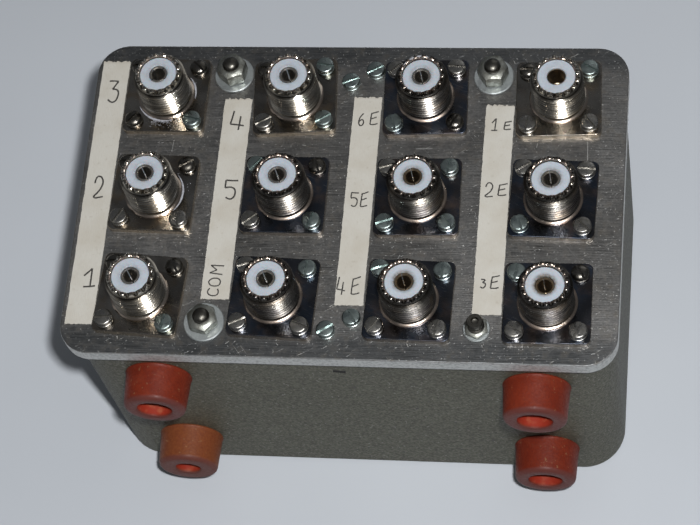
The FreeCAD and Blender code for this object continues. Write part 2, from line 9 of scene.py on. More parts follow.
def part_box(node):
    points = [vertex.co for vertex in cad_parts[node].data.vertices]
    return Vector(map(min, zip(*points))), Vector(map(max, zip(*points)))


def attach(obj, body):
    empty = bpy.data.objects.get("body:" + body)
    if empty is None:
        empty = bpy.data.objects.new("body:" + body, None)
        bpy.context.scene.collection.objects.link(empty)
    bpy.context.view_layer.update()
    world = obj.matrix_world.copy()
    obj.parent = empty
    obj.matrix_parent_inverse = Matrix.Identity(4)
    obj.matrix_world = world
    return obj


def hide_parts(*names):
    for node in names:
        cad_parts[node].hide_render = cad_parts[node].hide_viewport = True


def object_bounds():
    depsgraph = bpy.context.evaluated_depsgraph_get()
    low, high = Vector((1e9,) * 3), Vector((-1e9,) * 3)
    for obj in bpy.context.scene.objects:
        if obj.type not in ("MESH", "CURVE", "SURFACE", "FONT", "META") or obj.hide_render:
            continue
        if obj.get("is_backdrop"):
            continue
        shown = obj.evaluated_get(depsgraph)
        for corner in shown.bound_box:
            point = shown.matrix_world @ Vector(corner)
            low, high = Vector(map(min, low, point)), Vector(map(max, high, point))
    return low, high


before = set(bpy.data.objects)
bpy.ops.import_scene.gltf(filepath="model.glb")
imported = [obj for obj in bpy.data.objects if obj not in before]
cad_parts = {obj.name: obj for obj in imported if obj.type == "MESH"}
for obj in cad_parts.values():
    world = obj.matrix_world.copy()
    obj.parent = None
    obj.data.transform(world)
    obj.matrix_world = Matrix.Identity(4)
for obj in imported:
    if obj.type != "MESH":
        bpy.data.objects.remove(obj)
cad_low, cad_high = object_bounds()
ops = bmesh.ops

# The view: a camera held a little to the right of the box and well above it, so that
# the socket plate fills the frame and the wall with the feet shows along the bottom.
MM = 0.001
CAMERA_PLACE = Vector((112.3, -302.8, 692.5)) * MM
CAMERA_AHEAD = Vector((-0.16207, 0.41744, -0.89413))
CAMERA_RIGHT = Vector((0.98658, 0.08694, -0.13824))
LENS = 118.4
SENSOR = 36.0
CLIP_START = 0.01


def placed(name, data):
    """A new object in the scene."""
    piece = bpy.data.objects.new(name, data)
    bpy.context.scene.collection.objects.link(piece)
    return piece


camera_data = bpy.data.cameras.new("bench_camera")
camera_data.sensor_width = SENSOR
camera_data.lens = LENS
camera_data.clip_start = CLIP_START
camera = placed("bench_camera", camera_data)
camera_axes = Matrix((CAMERA_RIGHT, CAMERA_RIGHT.cross(CAMERA_AHEAD), -CAMERA_AHEAD))
camera.matrix_world = Matrix.Translation(CAMERA_PLACE) @ camera_axes.transposed().to_4x4()
bpy.context.scene.camera = camera


# Painted box: pressed from 1.6 mm sheet with wide upright corners and a closed floor,
# sprayed with a fine textured olive grey paint. The spindle comes out through its far
# wall. A small slit is cut high in the wall with the feet, and a near black plug set in it
# is painted shade, which darkens the slit.
BOX_CORNER = 13.0
BOX_WALL = 1.6
FLOOR_EDGE = 1.5
SHAFT_HOLE = 5.5
SLIT_PLACE = (0.3, 75.0)
SLIT_SIZE = (3.8, 5.0, 1.9)
SLIT_LEAN = 0.15
# Share and sinking of the near black plug in the slit, which is painted shade.
SHADE_PLUG_SHARE = (0.98, 0.25, 0.96)
SHADE_PLUG_DEEP = 0.06
SHARP = math.radians(38)


def in_mm(corner):
    return corner / MM


def sheet(low, high, x_steps=1, y_steps=1):
    """A flat grid between two corners, at the height of the first."""
    form = bmesh.new()
    ops.create_grid(form, x_segments=x_steps, y_segments=y_steps, size=0.5)
    ops.scale(form, vec=(high[0] - low[0], high[1] - low[1], 1), verts=form.verts)
    middle = ((low[0] + high[0]) / 2, (low[1] + high[1]) / 2, low[2])
    ops.translate(form, vec=middle, verts=form.verts)
    return form


def raised(form, height):
    """Thicken a flat panel upwards into a solid."""
    thick = ops.extrude_face_region(form, geom=form.faces[:], use_keep_orig=True)
    top = [item for item in thick["geom"] if isinstance(item, bmesh.types.BMVert)]
    ops.translate(form, vec=(0, 0, height), verts=top)
    ops.recalc_face_normals(form, faces=form.faces)
    return form


def slab(low, high, corner, steps=10):
    """A block between two corners, with its upright edges rounded."""
    panel = sheet(low, high)
    ops.bevel(panel, geom=panel.verts[:], offset=corner, affect="VERTICES",
              segments=steps, profile=0.5, material=-1)
    return raised(panel, high[2] - low[2])


def edges_at(form, height, reach=1e-3):
    return [edge for edge in form.edges
            if all(abs(corner.co.z - height) < reach for corner in edge.verts)]


def softened(form, edges, width, steps=3):
    ops.bevel(form, geom=edges, offset=width, affect="EDGES", segments=steps,
              profile=0.5, material=-1)
    return form


def turned(outline, steps):
    """Turn (radius, height) points about the upright axis. Off the axis they make a ring."""
    form = bmesh.new()
    points = [form.verts.new((radius, 0, height)) for radius, height in outline]
    runs = list(zip(points, points[1:]))
    if outline[0][0] > 0:
        runs.append((points[-1], points[0]))
    sides = [form.edges.new(pair) for pair in runs]
    ops.spin(form, geom=points + sides, cent=(0, 0, 0), axis=(0, 0, 1),
             angle=math.tau, steps=steps, use_merge=True)
    ops.remove_doubles(form, verts=form.verts, dist=1e-4)
    ops.recalc_face_normals(form, faces=form.faces)
    return form


def rod(radius, low, high, steps):
    return turned([(0, low), (radius, low), (radius, high), (0, high)], steps)


def block(size):
    form = bmesh.new()
    ops.create_cube(form, size=1.0)
    ops.scale(form, vec=size, verts=form.verts)
    return form


def moved(form, place=(0, 0, 0), turn=0.0, axis="Z"):
    form.transform(Matrix.Translation(place) @ Matrix.Rotation(turn, 4, axis))
    return form


def as_mesh(form, name):
    """Turn a solid into a mesh and free it."""
    mesh = bpy.data.meshes.new(name)
    form.to_mesh(mesh)
    form.free()
    return mesh


def cut(form, tool, operation="DIFFERENCE"):
    """Cut one solid with another, and return what is left."""
    pair = [placed("blank", as_mesh(part, "blank")) for part in (form, tool)]
    step = pair[0].modifiers.new("cut", "BOOLEAN")
    step.object = pair[1]
    step.operation = operation
    step.solver = "EXACT"
    bpy.context.view_layer.update()
    left = bmesh.new()
    left.from_object(pair[0], bpy.context.evaluated_depsgraph_get())
    for blank in pair:
        bpy.data.meshes.remove(blank.data)
    return left


def joined(forms):
    """Put several solids into one mesh without fusing them."""
    whole = bmesh.new()
    for form in forms:
        mesh = as_mesh(form, "part")
        whole.from_mesh(mesh)
        bpy.data.meshes.remove(mesh)
    return whole


def copied(form, places):
    """Copies of one solid at several (place, turn) pairs, as one mesh."""
    parts = []
    for place, turn in places:
        parts.append(moved(form.copy(), place, turn))
    form.free()
    return joined(parts)


def finished(name, form, material, replaces=(), body="case"):
    """Bring a solid drawn in millimetres to the frame's metres, and fix it to its body."""
    ops.scale(form, vec=(MM, MM, MM), verts=form.verts)
    mesh = as_mesh(form, name)
    mesh.shade_smooth()
    mesh.set_sharp_from_angle(angle=SHARP)
    mesh.materials.append(material)
    piece = placed(name, mesh)
    steady = piece.modifiers.new("flat_faces_stay_flat", "WEIGHTED_NORMAL")
    steady.keep_sharp = True
    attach(piece, body)
    if replaces:
        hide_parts(*replaces)


def add(tree, kind, inputs, **settings):
    """One shader node. An input is a plain value or another node's output."""
    node = tree.nodes.new(f"ShaderNode{kind}")
    for label, value in settings.items():
        setattr(node, label, value)
    for label, value in inputs.items():
        if isinstance(value, bpy.types.NodeSocket):
            tree.links.new(value, node.inputs[label])
        else:
            node.inputs[label].default_value = value
    return node


def sums(tree, operation, *values):
    return add(tree, "Math", dict(enumerate(values)), operation=operation).outputs[0]


def between(tree, mask, first, second):
    """Mix two colours by a mask. Each colour is three numbers or another node's output."""
    colours = [(*colour, 1.0) if isinstance(colour, tuple) else colour for colour in (first, second)]
    mix = add(tree, "Mix", {0: mask, 6: colours[0], 7: colours[1]}, data_type="RGBA")
    return mix.outputs[2]


def ramp(tree, value, low, high, start=0.0, end=1.0):
    mapped = add(tree, "MapRange", {"Value": value, "From Min": low, "From Max": high,
                                    "To Min": start, "To Max": end})
    return mapped.outputs["Result"]


def noise(tree, place, scale, detail, low, high, start=0.0, end=1.0):
    """Noise, stretched so that it runs from start to end between two of its levels."""
    pattern = add(tree, "TexNoise", {"Vector": place, "Scale": scale, "Detail": detail})
    return ramp(tree, pattern.outputs["Fac"], low, high, start, end)


def per_metre(tree, size_mm):
    return sums(tree, "DIVIDE", 1 / MM, size_mm)


def stretched(tree, place, *sizes_mm):
    """The place, with the three given sizes as its new units."""
    units = {axis: per_metre(tree, size) for axis, size in zip("XYZ", sizes_mm)}
    stretch = add(tree, "CombineXYZ", units)
    return add(tree, "VectorMath", {0: place, 1: stretch.outputs[0]}, operation="MULTIPLY").outputs[0]


def new_group(name, *labels):
    """A node group that puts out one mask, with the place and the named values it reads."""
    group = bpy.data.node_groups.new(name, "ShaderNodeTree")
    group.interface.new_socket("Vector", in_out="INPUT", socket_type="NodeSocketVector")
    for label in labels:
        group.interface.new_socket(label, in_out="INPUT", socket_type="NodeSocketFloat")
    group.interface.new_socket("Mask", in_out="OUTPUT", socket_type="NodeSocketFloat")
    return group, group.nodes.new("NodeGroupInput").outputs[:1 + len(labels)]


def close_group(group, mask):
    group.links.new(mask, group.nodes.new("NodeGroupOutput").inputs["Mask"])
    return group


def patches_group():
    """Soft patches of a given size, with a set share of the surface."""
    group, (place, size, low, high, detail) = new_group("patches", "Size mm", "Low", "High", "Detail")
    return close_group(group, noise(group, place, per_metre(group, size), detail, low, high))


def streaks_group():
    """Fine marks along one direction: brushing, scratches and drag lines."""
    group, (place, length, width, low, high, turn) = new_group(
        "streaks", "Length mm", "Width mm", "Low", "High", "Turn")
    turn = add(group, "CombineXYZ", {"Z": turn}).outputs[0]
    facing = add(group, "VectorRotate", {"Vector": place, "Rotation": turn}, rotation_type="EULER_XYZ")
    place = stretched(group, facing.outputs[0], length, width, width)
    return close_group(group, noise(group, place, 1.0, 2.0, low, high))


def turning_marks_group():
    """Fine rings round an upright turned piece, no two of them alike."""
    group, (place, up, around, low, high) = new_group("turning_marks", "Up mm", "Around mm", "Low", "High")
    place = stretched(group, place, around, around, up)
    return close_group(group, noise(group, place, 1.0, 2.0, low, high))


def worn_edges_group():
    """Where a corner sticks out, broken up so that the wear isn't even."""
    group, (place, reach, patch, low, high) = new_group(
        "worn_edges", "Reach mm", "Patch mm", "Low", "High")
    bevel = add(group, "Bevel", {"Radius": sums(group, "MULTIPLY", reach, MM)}, samples=4)
    face = group.nodes.new("ShaderNodeNewGeometry")
    lean = add(group, "VectorMath", {0: bevel.outputs[0], 1: face.outputs["Normal"]},
               operation="DOT_PRODUCT")
    corner = ramp(group, sums(group, "SUBTRACT", 1.0, lean.outputs["Value"]), low, high)
    broken = noise(group, place, per_metre(group, patch), 4.0, 0.4, 0.62)
    return close_group(group, sums(group, "MULTIPLY", corner, broken))


def upright_faces_group():
    """The sawn or cut edges of a sheet that lies flat, a little uneven."""
    group, (place, patch) = new_group("upright_faces", "Patch mm")
    normal = group.nodes.new("ShaderNodeTexCoord").outputs["Normal"]
    facing = add(group, "SeparateXYZ", {0: normal})
    upright = ramp(group, sums(group, "ABSOLUTE", facing.outputs["Z"]), 0.85, 0.5)
    uneven = noise(group, place, per_metre(group, patch), 4.0, 0.3, 0.55, 0.55)
    return close_group(group, sums(group, "MULTIPLY", upright, uneven))


PATCHES = patches_group()
STREAKS = streaks_group()
TURNING_MARKS = turning_marks_group()
WORN_EDGES = worn_edges_group()
UPRIGHT_FACES = upright_faces_group()


class Skin:
    """A material in the making. Sizes are in millimetres. Each effect gives a mask."""

    def __init__(self, name, **plain):
        self.material = bpy.data.materials.new(name)
        self.material.use_nodes = True
        self.tree = self.material.node_tree
        self.shader = self.tree.nodes["Principled BSDF"]
        for label, value in plain.items():
            self.shader.inputs[label.replace("_", " ").title()].default_value = value
        self.place = self.tree.nodes.new("ShaderNodeTexCoord").outputs["Object"]

    def effect(self, group, *values):
        node = self.tree.nodes.new("ShaderNodeGroup")
        node.node_tree = group
        self.tree.links.new(self.place, node.inputs["Vector"])
        for socket, value in zip(node.inputs[1:], values):
            socket.default_value = value
        return node.outputs["Mask"]

    def patches(self, size, low=0.35, high=0.7, detail=3.0):
        return self.effect(PATCHES, size, low, high, detail)

    def streaks(self, length, width, low, high, turn=0.0):
        return self.effect(STREAKS, length, width, low, high, turn)

    def worn_edges(self, reach, patch, low=0.05, high=0.35):
        return self.effect(WORN_EDGES, reach, patch, low, high)

    def carried(self, name):
        """A value that the points of the mesh carry."""
        node = self.tree.nodes.new("ShaderNodeAttribute")
        node.attribute_name = name
        return node.outputs["Fac"]

    def sums(self, operation, *values):
        return sums(self.tree, operation, *values)

    def coloured(self, base, *layers):
        """Lay colours over a base colour. A layer is a mask, its greatest share and a colour."""
        for mask, share, colour in layers:
            if share < 1:
                mask = self.sums("MULTIPLY", mask, share)
            base = between(self.tree, mask, base, colour)
        self.tree.links.new(base, self.shader.inputs["Base Color"])

    def roughened(self, mask, smooth, rough):
        values = ramp(self.tree, mask, 0.0, 1.0, smooth, rough)
        self.tree.links.new(values, self.shader.inputs["Roughness"])

    def bumped(self, height, depth):
        bump = add(self.tree, "Bump", {"Height": height, "Distance": depth * MM, "Strength": 1.0})
        self.tree.links.new(bump.outputs[0], self.shader.inputs["Normal"])


def clouded(name, first, second, patches, depth=0.0, **plain):
    """A plain material in two colours. Patches are a size, two levels and their detail."""
    skin = Skin(name, **plain)
    cloud = skin.patches(*patches)
    skin.coloured(first, (cloud, 1, second))
    if depth:
        skin.bumped(cloud, depth)
    return skin.material


def box_paint():
    skin = Skin("olive_grey_paint")
    grit = skin.patches(0.7, 0.35, 0.65, 2.0)
    cloud = skin.patches(22.0)
    specks = skin.patches(0.9, 0.7, 0.74, 1.0)
    rubbed_and_sheen = skin.worn_edges(0.8, 3.0)
    dark_specks = skin.patches(1.1, 0.3, 0.26, 1.0)
    skin.coloured(
        (0.086, 0.083, 0.055),
        (cloud, 1, (0.102, 0.099, 0.068)),
        (grit, 1, (0.055, 0.053, 0.036)),
        (specks, 1, (0.2, 0.2, 0.175)),
        (dark_specks, 1, (0.045, 0.044, 0.038)),
        (rubbed_and_sheen, 1, (0.26, 0.26, 0.24)))
    skin.roughened(grit, 0.5, 0.68)
    skin.bumped(grit, 0.08)
    return skin.material


box_low, box_high = map(in_mm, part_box("box"))
outside = slab(box_low, box_high, BOX_CORNER, 14)
softened(outside, edges_at(outside, box_low.z), FLOOR_EDGE, steps=4)
inner_low = box_low + Vector((BOX_WALL, BOX_WALL, BOX_WALL))
inner_high = box_high - Vector((BOX_WALL, BOX_WALL, -1))
shell = cut(outside, slab(inner_low, inner_high, BOX_CORNER - BOX_WALL, 14))
spindle_low, spindle_high = map(in_mm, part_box("spindle"))
axis_place = (spindle_low + spindle_high) / 2
hole = rod(SHAFT_HOLE, -5, 5, 40)
shell = cut(shell, moved(hole, (axis_place.x, box_high.y, axis_place.z), math.pi / 2, "X"))
slit = block(SLIT_SIZE)
# The plug, a near black insert just behind the wall's face, is painted shade in the slit.
shade_plug = slit.copy()
ops.scale(shade_plug, vec=SHADE_PLUG_SHARE, verts=shade_plug.verts)
slit_middle = Vector((SLIT_PLACE[0], box_low.y, SLIT_PLACE[1]))
shell = cut(shell, moved(slit, slit_middle, SLIT_LEAN, "Y"))
finished("painted_box", shell, box_paint(), ["box"])
# Near black for the plug: painted shade in the slit.
painted_slit_shade = clouded("painted_slit_shade", (0.004, 0.004, 0.003), (0.012, 0.011, 0.009), (0.5,),
                        roughness=0.9)
slit_middle.y += SLIT_SIZE[1] * SHADE_PLUG_SHARE[1] / 2 + SHADE_PLUG_DEEP
finished("slit_shade_plug", moved(shade_plug, slit_middle, SLIT_LEAN, "Y"), painted_slit_shade)


# Socket plate: 5 mm sawn aluminium with filed edges, clearance holes under the sockets
# and studs, and years of scratches, grime and a few scribed layout lines.
PLATE_CORNER = 9.5
PLATE_EDGE = 0.45
SOCKET_HOLE = 6.5
STUD_HOLE = 2.8
COLUMN_PITCH = 40.0
ROW_PITCH = 33.5
LAYOUT_SHIFT = 1.5
STUD_ACROSS = 40.0
STUD_ALONG = 41.5

# Lettered sockets: name, column, row, and how far the flange is turned, in degrees.
SOCKETS = [
    ("1", -1.5, -1, -3.3), ("2", -1.5, 0, -1.3), ("3", -1.5, 1, -0.2),
    ("COM", -0.5, -1, -2.1), ("5", -0.5, 0, 0.0), ("4", -0.5, 1, 3.7),
    ("4E", 0.5, -1, -1.2), ("5E", 0.5, 0, 1.0), ("6E", 0.5, 1, 2.0),
    ("3E", 1.5, -1, 0.6), ("2E", 1.5, 0, -1.3), ("1E", 1.5, 1, 2.1),
]


def worn_aluminium():
    skin = Skin("worn_aluminium", metallic=1.0)
    brushed = skin.streaks(9.0, 0.25, 0.3, 0.7)
    grain = skin.patches(0.6, 0.36, 0.64)
    scratch = skin.streaks(9.0, 0.16, 0.7, 0.78, 0.9)
    scuff = skin.streaks(3.0, 0.3, 0.69, 0.78, -0.5)
    specks = skin.patches(0.7, 0.7, 0.73, 1.0)
    grime_and_shade = skin.patches(16.0, 0.35, 0.68, 5.0)
    stains = skin.patches(2.2, 0.5, 0.74, 4.0)
    bright = skin.worn_edges(0.6, 2.5)
    sawn = skin.effect(UPRIGHT_FACES, 0.9)
    # Bands along the near and far edges are painted darker and bluer: a painted reflection of the dark
    # room.
    along = add(skin.tree, "SeparateXYZ", {0: skin.place}).outputs["Y"]
    painted_reflection_band = ramp(skin.tree, skin.sums("ABSOLUTE", along), 0.041, 0.047)
    marks = skin.sums("MAXIMUM", skin.sums("MAXIMUM", scratch, scuff),
                      skin.sums("MAXIMUM", bright, specks))
    skin.coloured(
        (0.305, 0.3, 0.292),
        (grime_and_shade, 1, (0.18, 0.176, 0.168)),
        (painted_reflection_band, 0.62, (0.075, 0.085, 0.095)),
        (brushed, 0.22, (0.09, 0.09, 0.09)),
        (grain, 0.34, (0.07, 0.07, 0.068)),
        (stains, 0.5, (0.1, 0.085, 0.065)),
        (marks, 0.6, (0.66, 0.66, 0.64)),
        # The upright sawn faces are painted lighter: partly their bare filed metal, partly a painted
        # highlight.
        (sawn, 1, (0.6, 0.6, 0.58)))
    uneven = skin.sums("MULTIPLY_ADD", sawn, 2.0, skin.sums("ADD", stains, brushed))
    skin.roughened(uneven, 0.34, 0.58)
    skin.bumped(skin.sums("SUBTRACT", brushed, marks), 0.02)
    return skin.material


def fresh_aluminium():
    skin = Skin("fresh_aluminium", metallic=1.0)
    cloud = skin.patches(0.8)
    skin.coloured((0.8, 0.8, 0.78), (cloud, 1, (0.5, 0.5, 0.48)))
    skin.roughened(cloud, 0.4, 0.6)
    return skin.material


def socket_spot(column, row):
    return Vector((COLUMN_PITCH * column + LAYOUT_SHIFT, ROW_PITCH * row, plate_high.z))


plate_low, plate_high = map(in_mm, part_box("socket_plate"))
plate = slab(plate_low, plate_high, PLATE_CORNER, 12)
softened(plate, edges_at(plate, plate_high.z), PLATE_EDGE)
softened(plate, edges_at(plate, plate_low.z), PLATE_EDGE / 2, steps=2)
stud_spots = [Vector((across + LAYOUT_SHIFT, along, plate_high.z))
              for across in (-STUD_ACROSS, STUD_ACROSS) for along in (-STUD_ALONG, STUD_ALONG)]
drills = []
for radius, spots in ((SOCKET_HOLE, [socket_spot(column, row) for _, column, row, _ in SOCKETS]),
                      (STUD_HOLE, stud_spots)):
    drills.append(copied(rod(radius, -9, 4, 32), [(spot, 0) for spot in spots]))
plate = cut(plate, joined(drills))
finished("socket_plate_worn", plate, worn_aluminium(), ["socket_plate"])

# Scribed layout lines and deeper scratches: middle on the plate, length and turn.
SCRIBED = [((70.7, 16.7), 6.6, 1.62), ((-31.0, -47.5), 1.4, 0.7), ((-64.0, -46.8), 1.1, 1.7),
           ((22.0, 16.9), 5.0, 0.02), ((-55.0, 17.0), 4.0, 1.5), ((-38.0, 17.5), 2.5, 0.1)]
SCRATCH_WIDTH = 0.16
SCRATCH_PROUD = 0.02
SCRATCHES = 20
SCRATCH_LANES = (-48, -47, -17, 17, 48)
scratches = random.Random(11)
for _ in range(SCRATCHES):
    lane = scratches.choice(SCRATCH_LANES) + scratches.uniform(-2, 2)
    middle = (scratches.uniform(-78, 78), lane)
    SCRIBED.append((middle, scratches.uniform(0.4, 1.8), scratches.uniform(0, math.pi)))
cuts = []
for middle, length, turn in SCRIBED:
    across, along = length / 2, SCRATCH_WIDTH / 2
    bar = slab((-across, -along, 0), (across, along, SCRATCH_PROUD), 0.06, 1)
    cuts.append(moved(bar, (*middle, plate_high.z), turn))
finished("plate_scratches", joined(cuts), fresh_aluminium())


# Cover fixings: a welded ledge inside each long wall carries an M5 stud with a rounded
# end. A pale plated washer and a chamfered hexagon nut pull the plate down on the rim,
# and the two far ones stand higher. The near right one is small, with a dimpled stud.
STUD_RADIUS = 2.5
STUD_PITCH = 0.8
DIMPLE = 1.2
NUT_FLATS = 8.0
SMALL_NUT = 6.4
THIN_NUT = 2.2
WASHER_RADIUS = 6.1
SMALL_WASHER = 4.0
WASHER_THICK = 0.9
LEDGE_LENGTH = 14.0
LEDGE_THICK = 2.0
LEDGE_DROP = 12.0
FAR_RISE = 1.8
NUT_TURNS = (0.3, 0.9, 0.15, 0.62)


def plated_steel(name, clean, dull, smooth=0.3, rough=0.5):
    skin = Skin(name, metallic=1.0)
    cloud = skin.patches(1.8, 0.38, 0.66, 4.0)
    fine = skin.patches(0.35, 0.4, 0.7, 2.0)
    bright = skin.worn_edges(0.18, 1.2)
    lit = tuple(min(1.0, c * 1.5 + 0.08) for c in clean)
    skin.coloured(clean, (cloud, 1, dull), (bright, 0.8, lit))
    skin.roughened(cloud, smooth, rough)
    skin.bumped(fine, 0.015)
    return skin.material


def thread(start, end, pitch, crest, root):
    """Outline points of a V thread, from its lower to its upper end."""
    points = []
    turns = int((end - start) / pitch)
    for number in range(turns):
        low = start + pitch * number
        points += [(root, low), (root, low + pitch * 0.12), (crest, low + pitch * 0.44),
                   (crest, low + pitch * 0.68)]
    points.append((root, start + pitch * turns))
    return points


def hexagon(flats, low, high):
    """A hexagon nut blank with both ends chamfered, as from a bar in a lathe."""
    prism = bmesh.new()
    corner = flats / math.sqrt(3)
    ops.create_cone(prism, cap_ends=True, segments=6, radius1=corner, radius2=corner,
                    depth=high - low)
    ops.translate(prism, vec=(0, 0, (low + high) / 2), verts=prism.verts)
    lip = flats / 2 * 0.83
    drop = (corner - lip) * 0.7
    edge = corner * 1.02
    bar = turned([(0, low), (lip, low), (edge, low + drop), (edge, high - drop), (lip, high),
                  (0, high)], 48)
    return cut(prism, bar, "INTERSECT")


zinc = plated_steel("dull_zinc", (0.5, 0.53, 0.53), (0.36, 0.39, 0.39), 0.46, 0.62)
nut_steel = plated_steel("grey_nuts", (0.33, 0.34, 0.31), (0.17, 0.17, 0.15), 0.38, 0.56)
dark_steel = plated_steel("dark_steel", (0.2, 0.2, 0.2), (0.09, 0.09, 0.085), 0.28, 0.5)
stud_steel = plated_steel("blackened_studs", (0.13, 0.125, 0.11), (0.06, 0.056, 0.05), 0.3, 0.48)
ledge_under = box_high.z
stud_top = in_mm(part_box("cover_ledges")[1]).z
nut_top = in_mm(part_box("cover_nuts")[1]).z
ledge_foot, ledge_bottom = ledge_under - LEDGE_THICK, ledge_under - LEDGE_DROP
studs, ledges, nuts, washers = [], [], [], []
for spot, turn in zip(stud_spots, NUT_TURNS):
    far, small = spot.y > 0, spot.x > 0 > spot.y
    axis_spot = (spot.x, spot.y, 0)
    end = stud_top + (FAR_RISE if far else -0.4 if small else 0)
    outline = [(0, ledge_foot), (STUD_RADIUS * 0.86, ledge_foot)]
    outline += thread(ledge_under, end - 2.0, STUD_PITCH, STUD_RADIUS, STUD_RADIUS * 0.86)
    if small:
        outline += [(STUD_RADIUS, end - 0.8), (STUD_RADIUS - 0.35, end), (DIMPLE, end),
                    (DIMPLE * 0.8, end - 1.0), (0, end - 1.3)]
    else:
        for step in range(9):
            lean = math.radians(90 * step / 8)
            outline.append((STUD_RADIUS * math.cos(lean), end - 1.5 * (1 - math.sin(lean))))
    studs.append(moved(turned(outline, 40), axis_spot))

    side = math.copysign(1, spot.y)
    wall = side * (box_high.y - BOX_WALL)
    for deep, bottom, top, corner, steps in ((LEDGE_DROP, ledge_foot, ledge_under, 1.0, 3),
                                             (LEDGE_THICK, ledge_bottom, ledge_foot, 0.3, 2)):
        ends = sorted((wall, wall - side * deep))
        ledges.append(slab((spot.x - LEDGE_LENGTH / 2, ends[0], bottom),
                           (spot.x + LEDGE_LENGTH / 2, ends[1], top), corner, steps))

    top = nut_top + (FAR_RISE if far else -THIN_NUT if small else 0)
    blank = hexagon(SMALL_NUT if small else NUT_FLATS, plate_high.z + WASHER_THICK, top)
    bore = rod(STUD_RADIUS, plate_high.z - 2, plate_high.z + 19, 32)
    nuts.append(moved(cut(blank, bore), axis_spot, turn))

    hole, radius = STUD_RADIUS + 0.2, SMALL_WASHER if small else WASHER_RADIUS
    ring = [(hole, 0), (radius - 0.1, 0), (radius, 0.15), (radius, WASHER_THICK - 0.2),
            (radius - 0.25, WASHER_THICK), (hole, WASHER_THICK)]
    washers.append(moved(turned(ring, 56), spot))
finished("cover_studs", joined(studs), stud_steel, ["cover_ledges"])
finished("cover_ledge_angles", joined(ledges), dark_steel, ["cover_ledges"])
finished("cover_nuts_chamfered", joined(nuts), nut_steel, ["cover_nuts"])
finished("stud_washers", joined(washers), zinc)


# Panel sockets: a one inch square flange with a 5/8 inch threaded barrel, both brass
# under nickel plate. Seven of them have tarnished to a dark blue brown, and the rim of
# each barrel is notched for the teeth of the plug. The thread is cut a little coarse.
FLANGE_SIDE = 25.4
FLANGE_THICK = 2.0
FLANGE_CORNER = 1.9
FLANGE_EDGE = 0.28
CREST = 7.94
ROOT = 7.2
THREAD_PITCH = 1.33
THREAD_START = 2.85
THREAD_END = 13.8
SHOULDER_RADIUS = 8.75
INNER_NOTCH = 0.25
NECK_RADIUS = 7.2
RIM_RADIUS = 6.95
RIM_TOP = 15.8
BORE_RADIUS = 5.6
TEETH = 16
STEPS_PER_TOOTH = 12
TOOTH_HEIGHT = 1.35
TOOTH_HALF = 0.37
TARNISHED = ("5", "COM", "6E", "5E", "4E", "2E", "3E")


def nickel(name, light, stain, tint, low, high, smooth, rough, edge_wear=0.0):
    skin = Skin(name, metallic=1.0)
    rings = skin.effect(TURNING_MARKS, 0.75, 11.0, 0.44, 0.6)
    sawn = skin.effect(UPRIGHT_FACES, 1.6)
    tarnish = skin.patches(7.0, low, high, 5.0)
    warm = skin.patches(5.0, 0.5, 0.75)
    pits = skin.patches(0.5, 0.55, 0.75)
    rubs = skin.streaks(5.0, 0.12, 0.66, 0.76, 0.4)
    bright = skin.worn_edges(0.2, 1.5, 0.03, 0.25)
    marks = skin.sums("MULTIPLY", skin.sums("MAXIMUM", rubs, bright), 0.5)
    skin.coloured(
        light,
        (tarnish, 1, stain),
        (warm, 0.7, tint),
        (pits, 0.35, (0.05, 0.045, 0.04)),
        (rings, 0.5, tuple(c * 0.3 for c in stain)),
        (sawn, edge_wear, (0.5, 0.42, 0.32)),
        # From the barrel's points, painted lighter: the shoulder, rubbed and with a painted highlight, and
        # the rim's inner band, a painted reflection.
        (skin.carried("rubbed_and_sheen"), 0.7, (0.5, 0.4, 0.33)),
        # Painted shade from the barrel's points, in the thread roots and between the teeth, with some
        # grime.
        (skin.carried("grime_and_shade"), 0.92, (0.03, 0.025, 0.02)),
        (marks, 1, (0.72, 0.68, 0.6)))
    skin.roughened(skin.sums("MAXIMUM", tarnish, pits), smooth, rough)
    skin.bumped(skin.sums("SUBTRACT", pits, marks), 0.008)
    return skin.material


bright_nickel = nickel("worn_nickel", (0.4, 0.375, 0.34), (0.19, 0.17, 0.15), (0.38, 0.28, 0.17),
                       0.4, 0.66, 0.13, 0.34, edge_wear=0.75)
bright_barrel = nickel("worn_nickel_barrel", (0.57, 0.54, 0.48), (0.32, 0.29, 0.24), (0.5, 0.41, 0.29),
                       0.42, 0.7, 0.12, 0.26)
dark_nickel = nickel("tarnished_nickel", (0.19, 0.19, 0.205), (0.06, 0.075, 0.105), (0.24, 0.17, 0.13),
                     0.35, 0.6, 0.14, 0.34, edge_wear=0.4)
dark_barrel = nickel("tarnished_barrel", (0.2, 0.19, 0.17), (0.06, 0.056, 0.056), (0.21, 0.16, 0.11),
                     0.36, 0.6, 0.18, 0.33)

half = FLANGE_SIDE / 2
flange = slab((-half, -half, 0), (half, half, FLANGE_THICK), FLANGE_CORNER, 6)
softened(flange, edges_at(flange, FLANGE_THICK), FLANGE_EDGE)
flange = cut(flange, rod(BORE_RADIUS, -1, 4, 48))

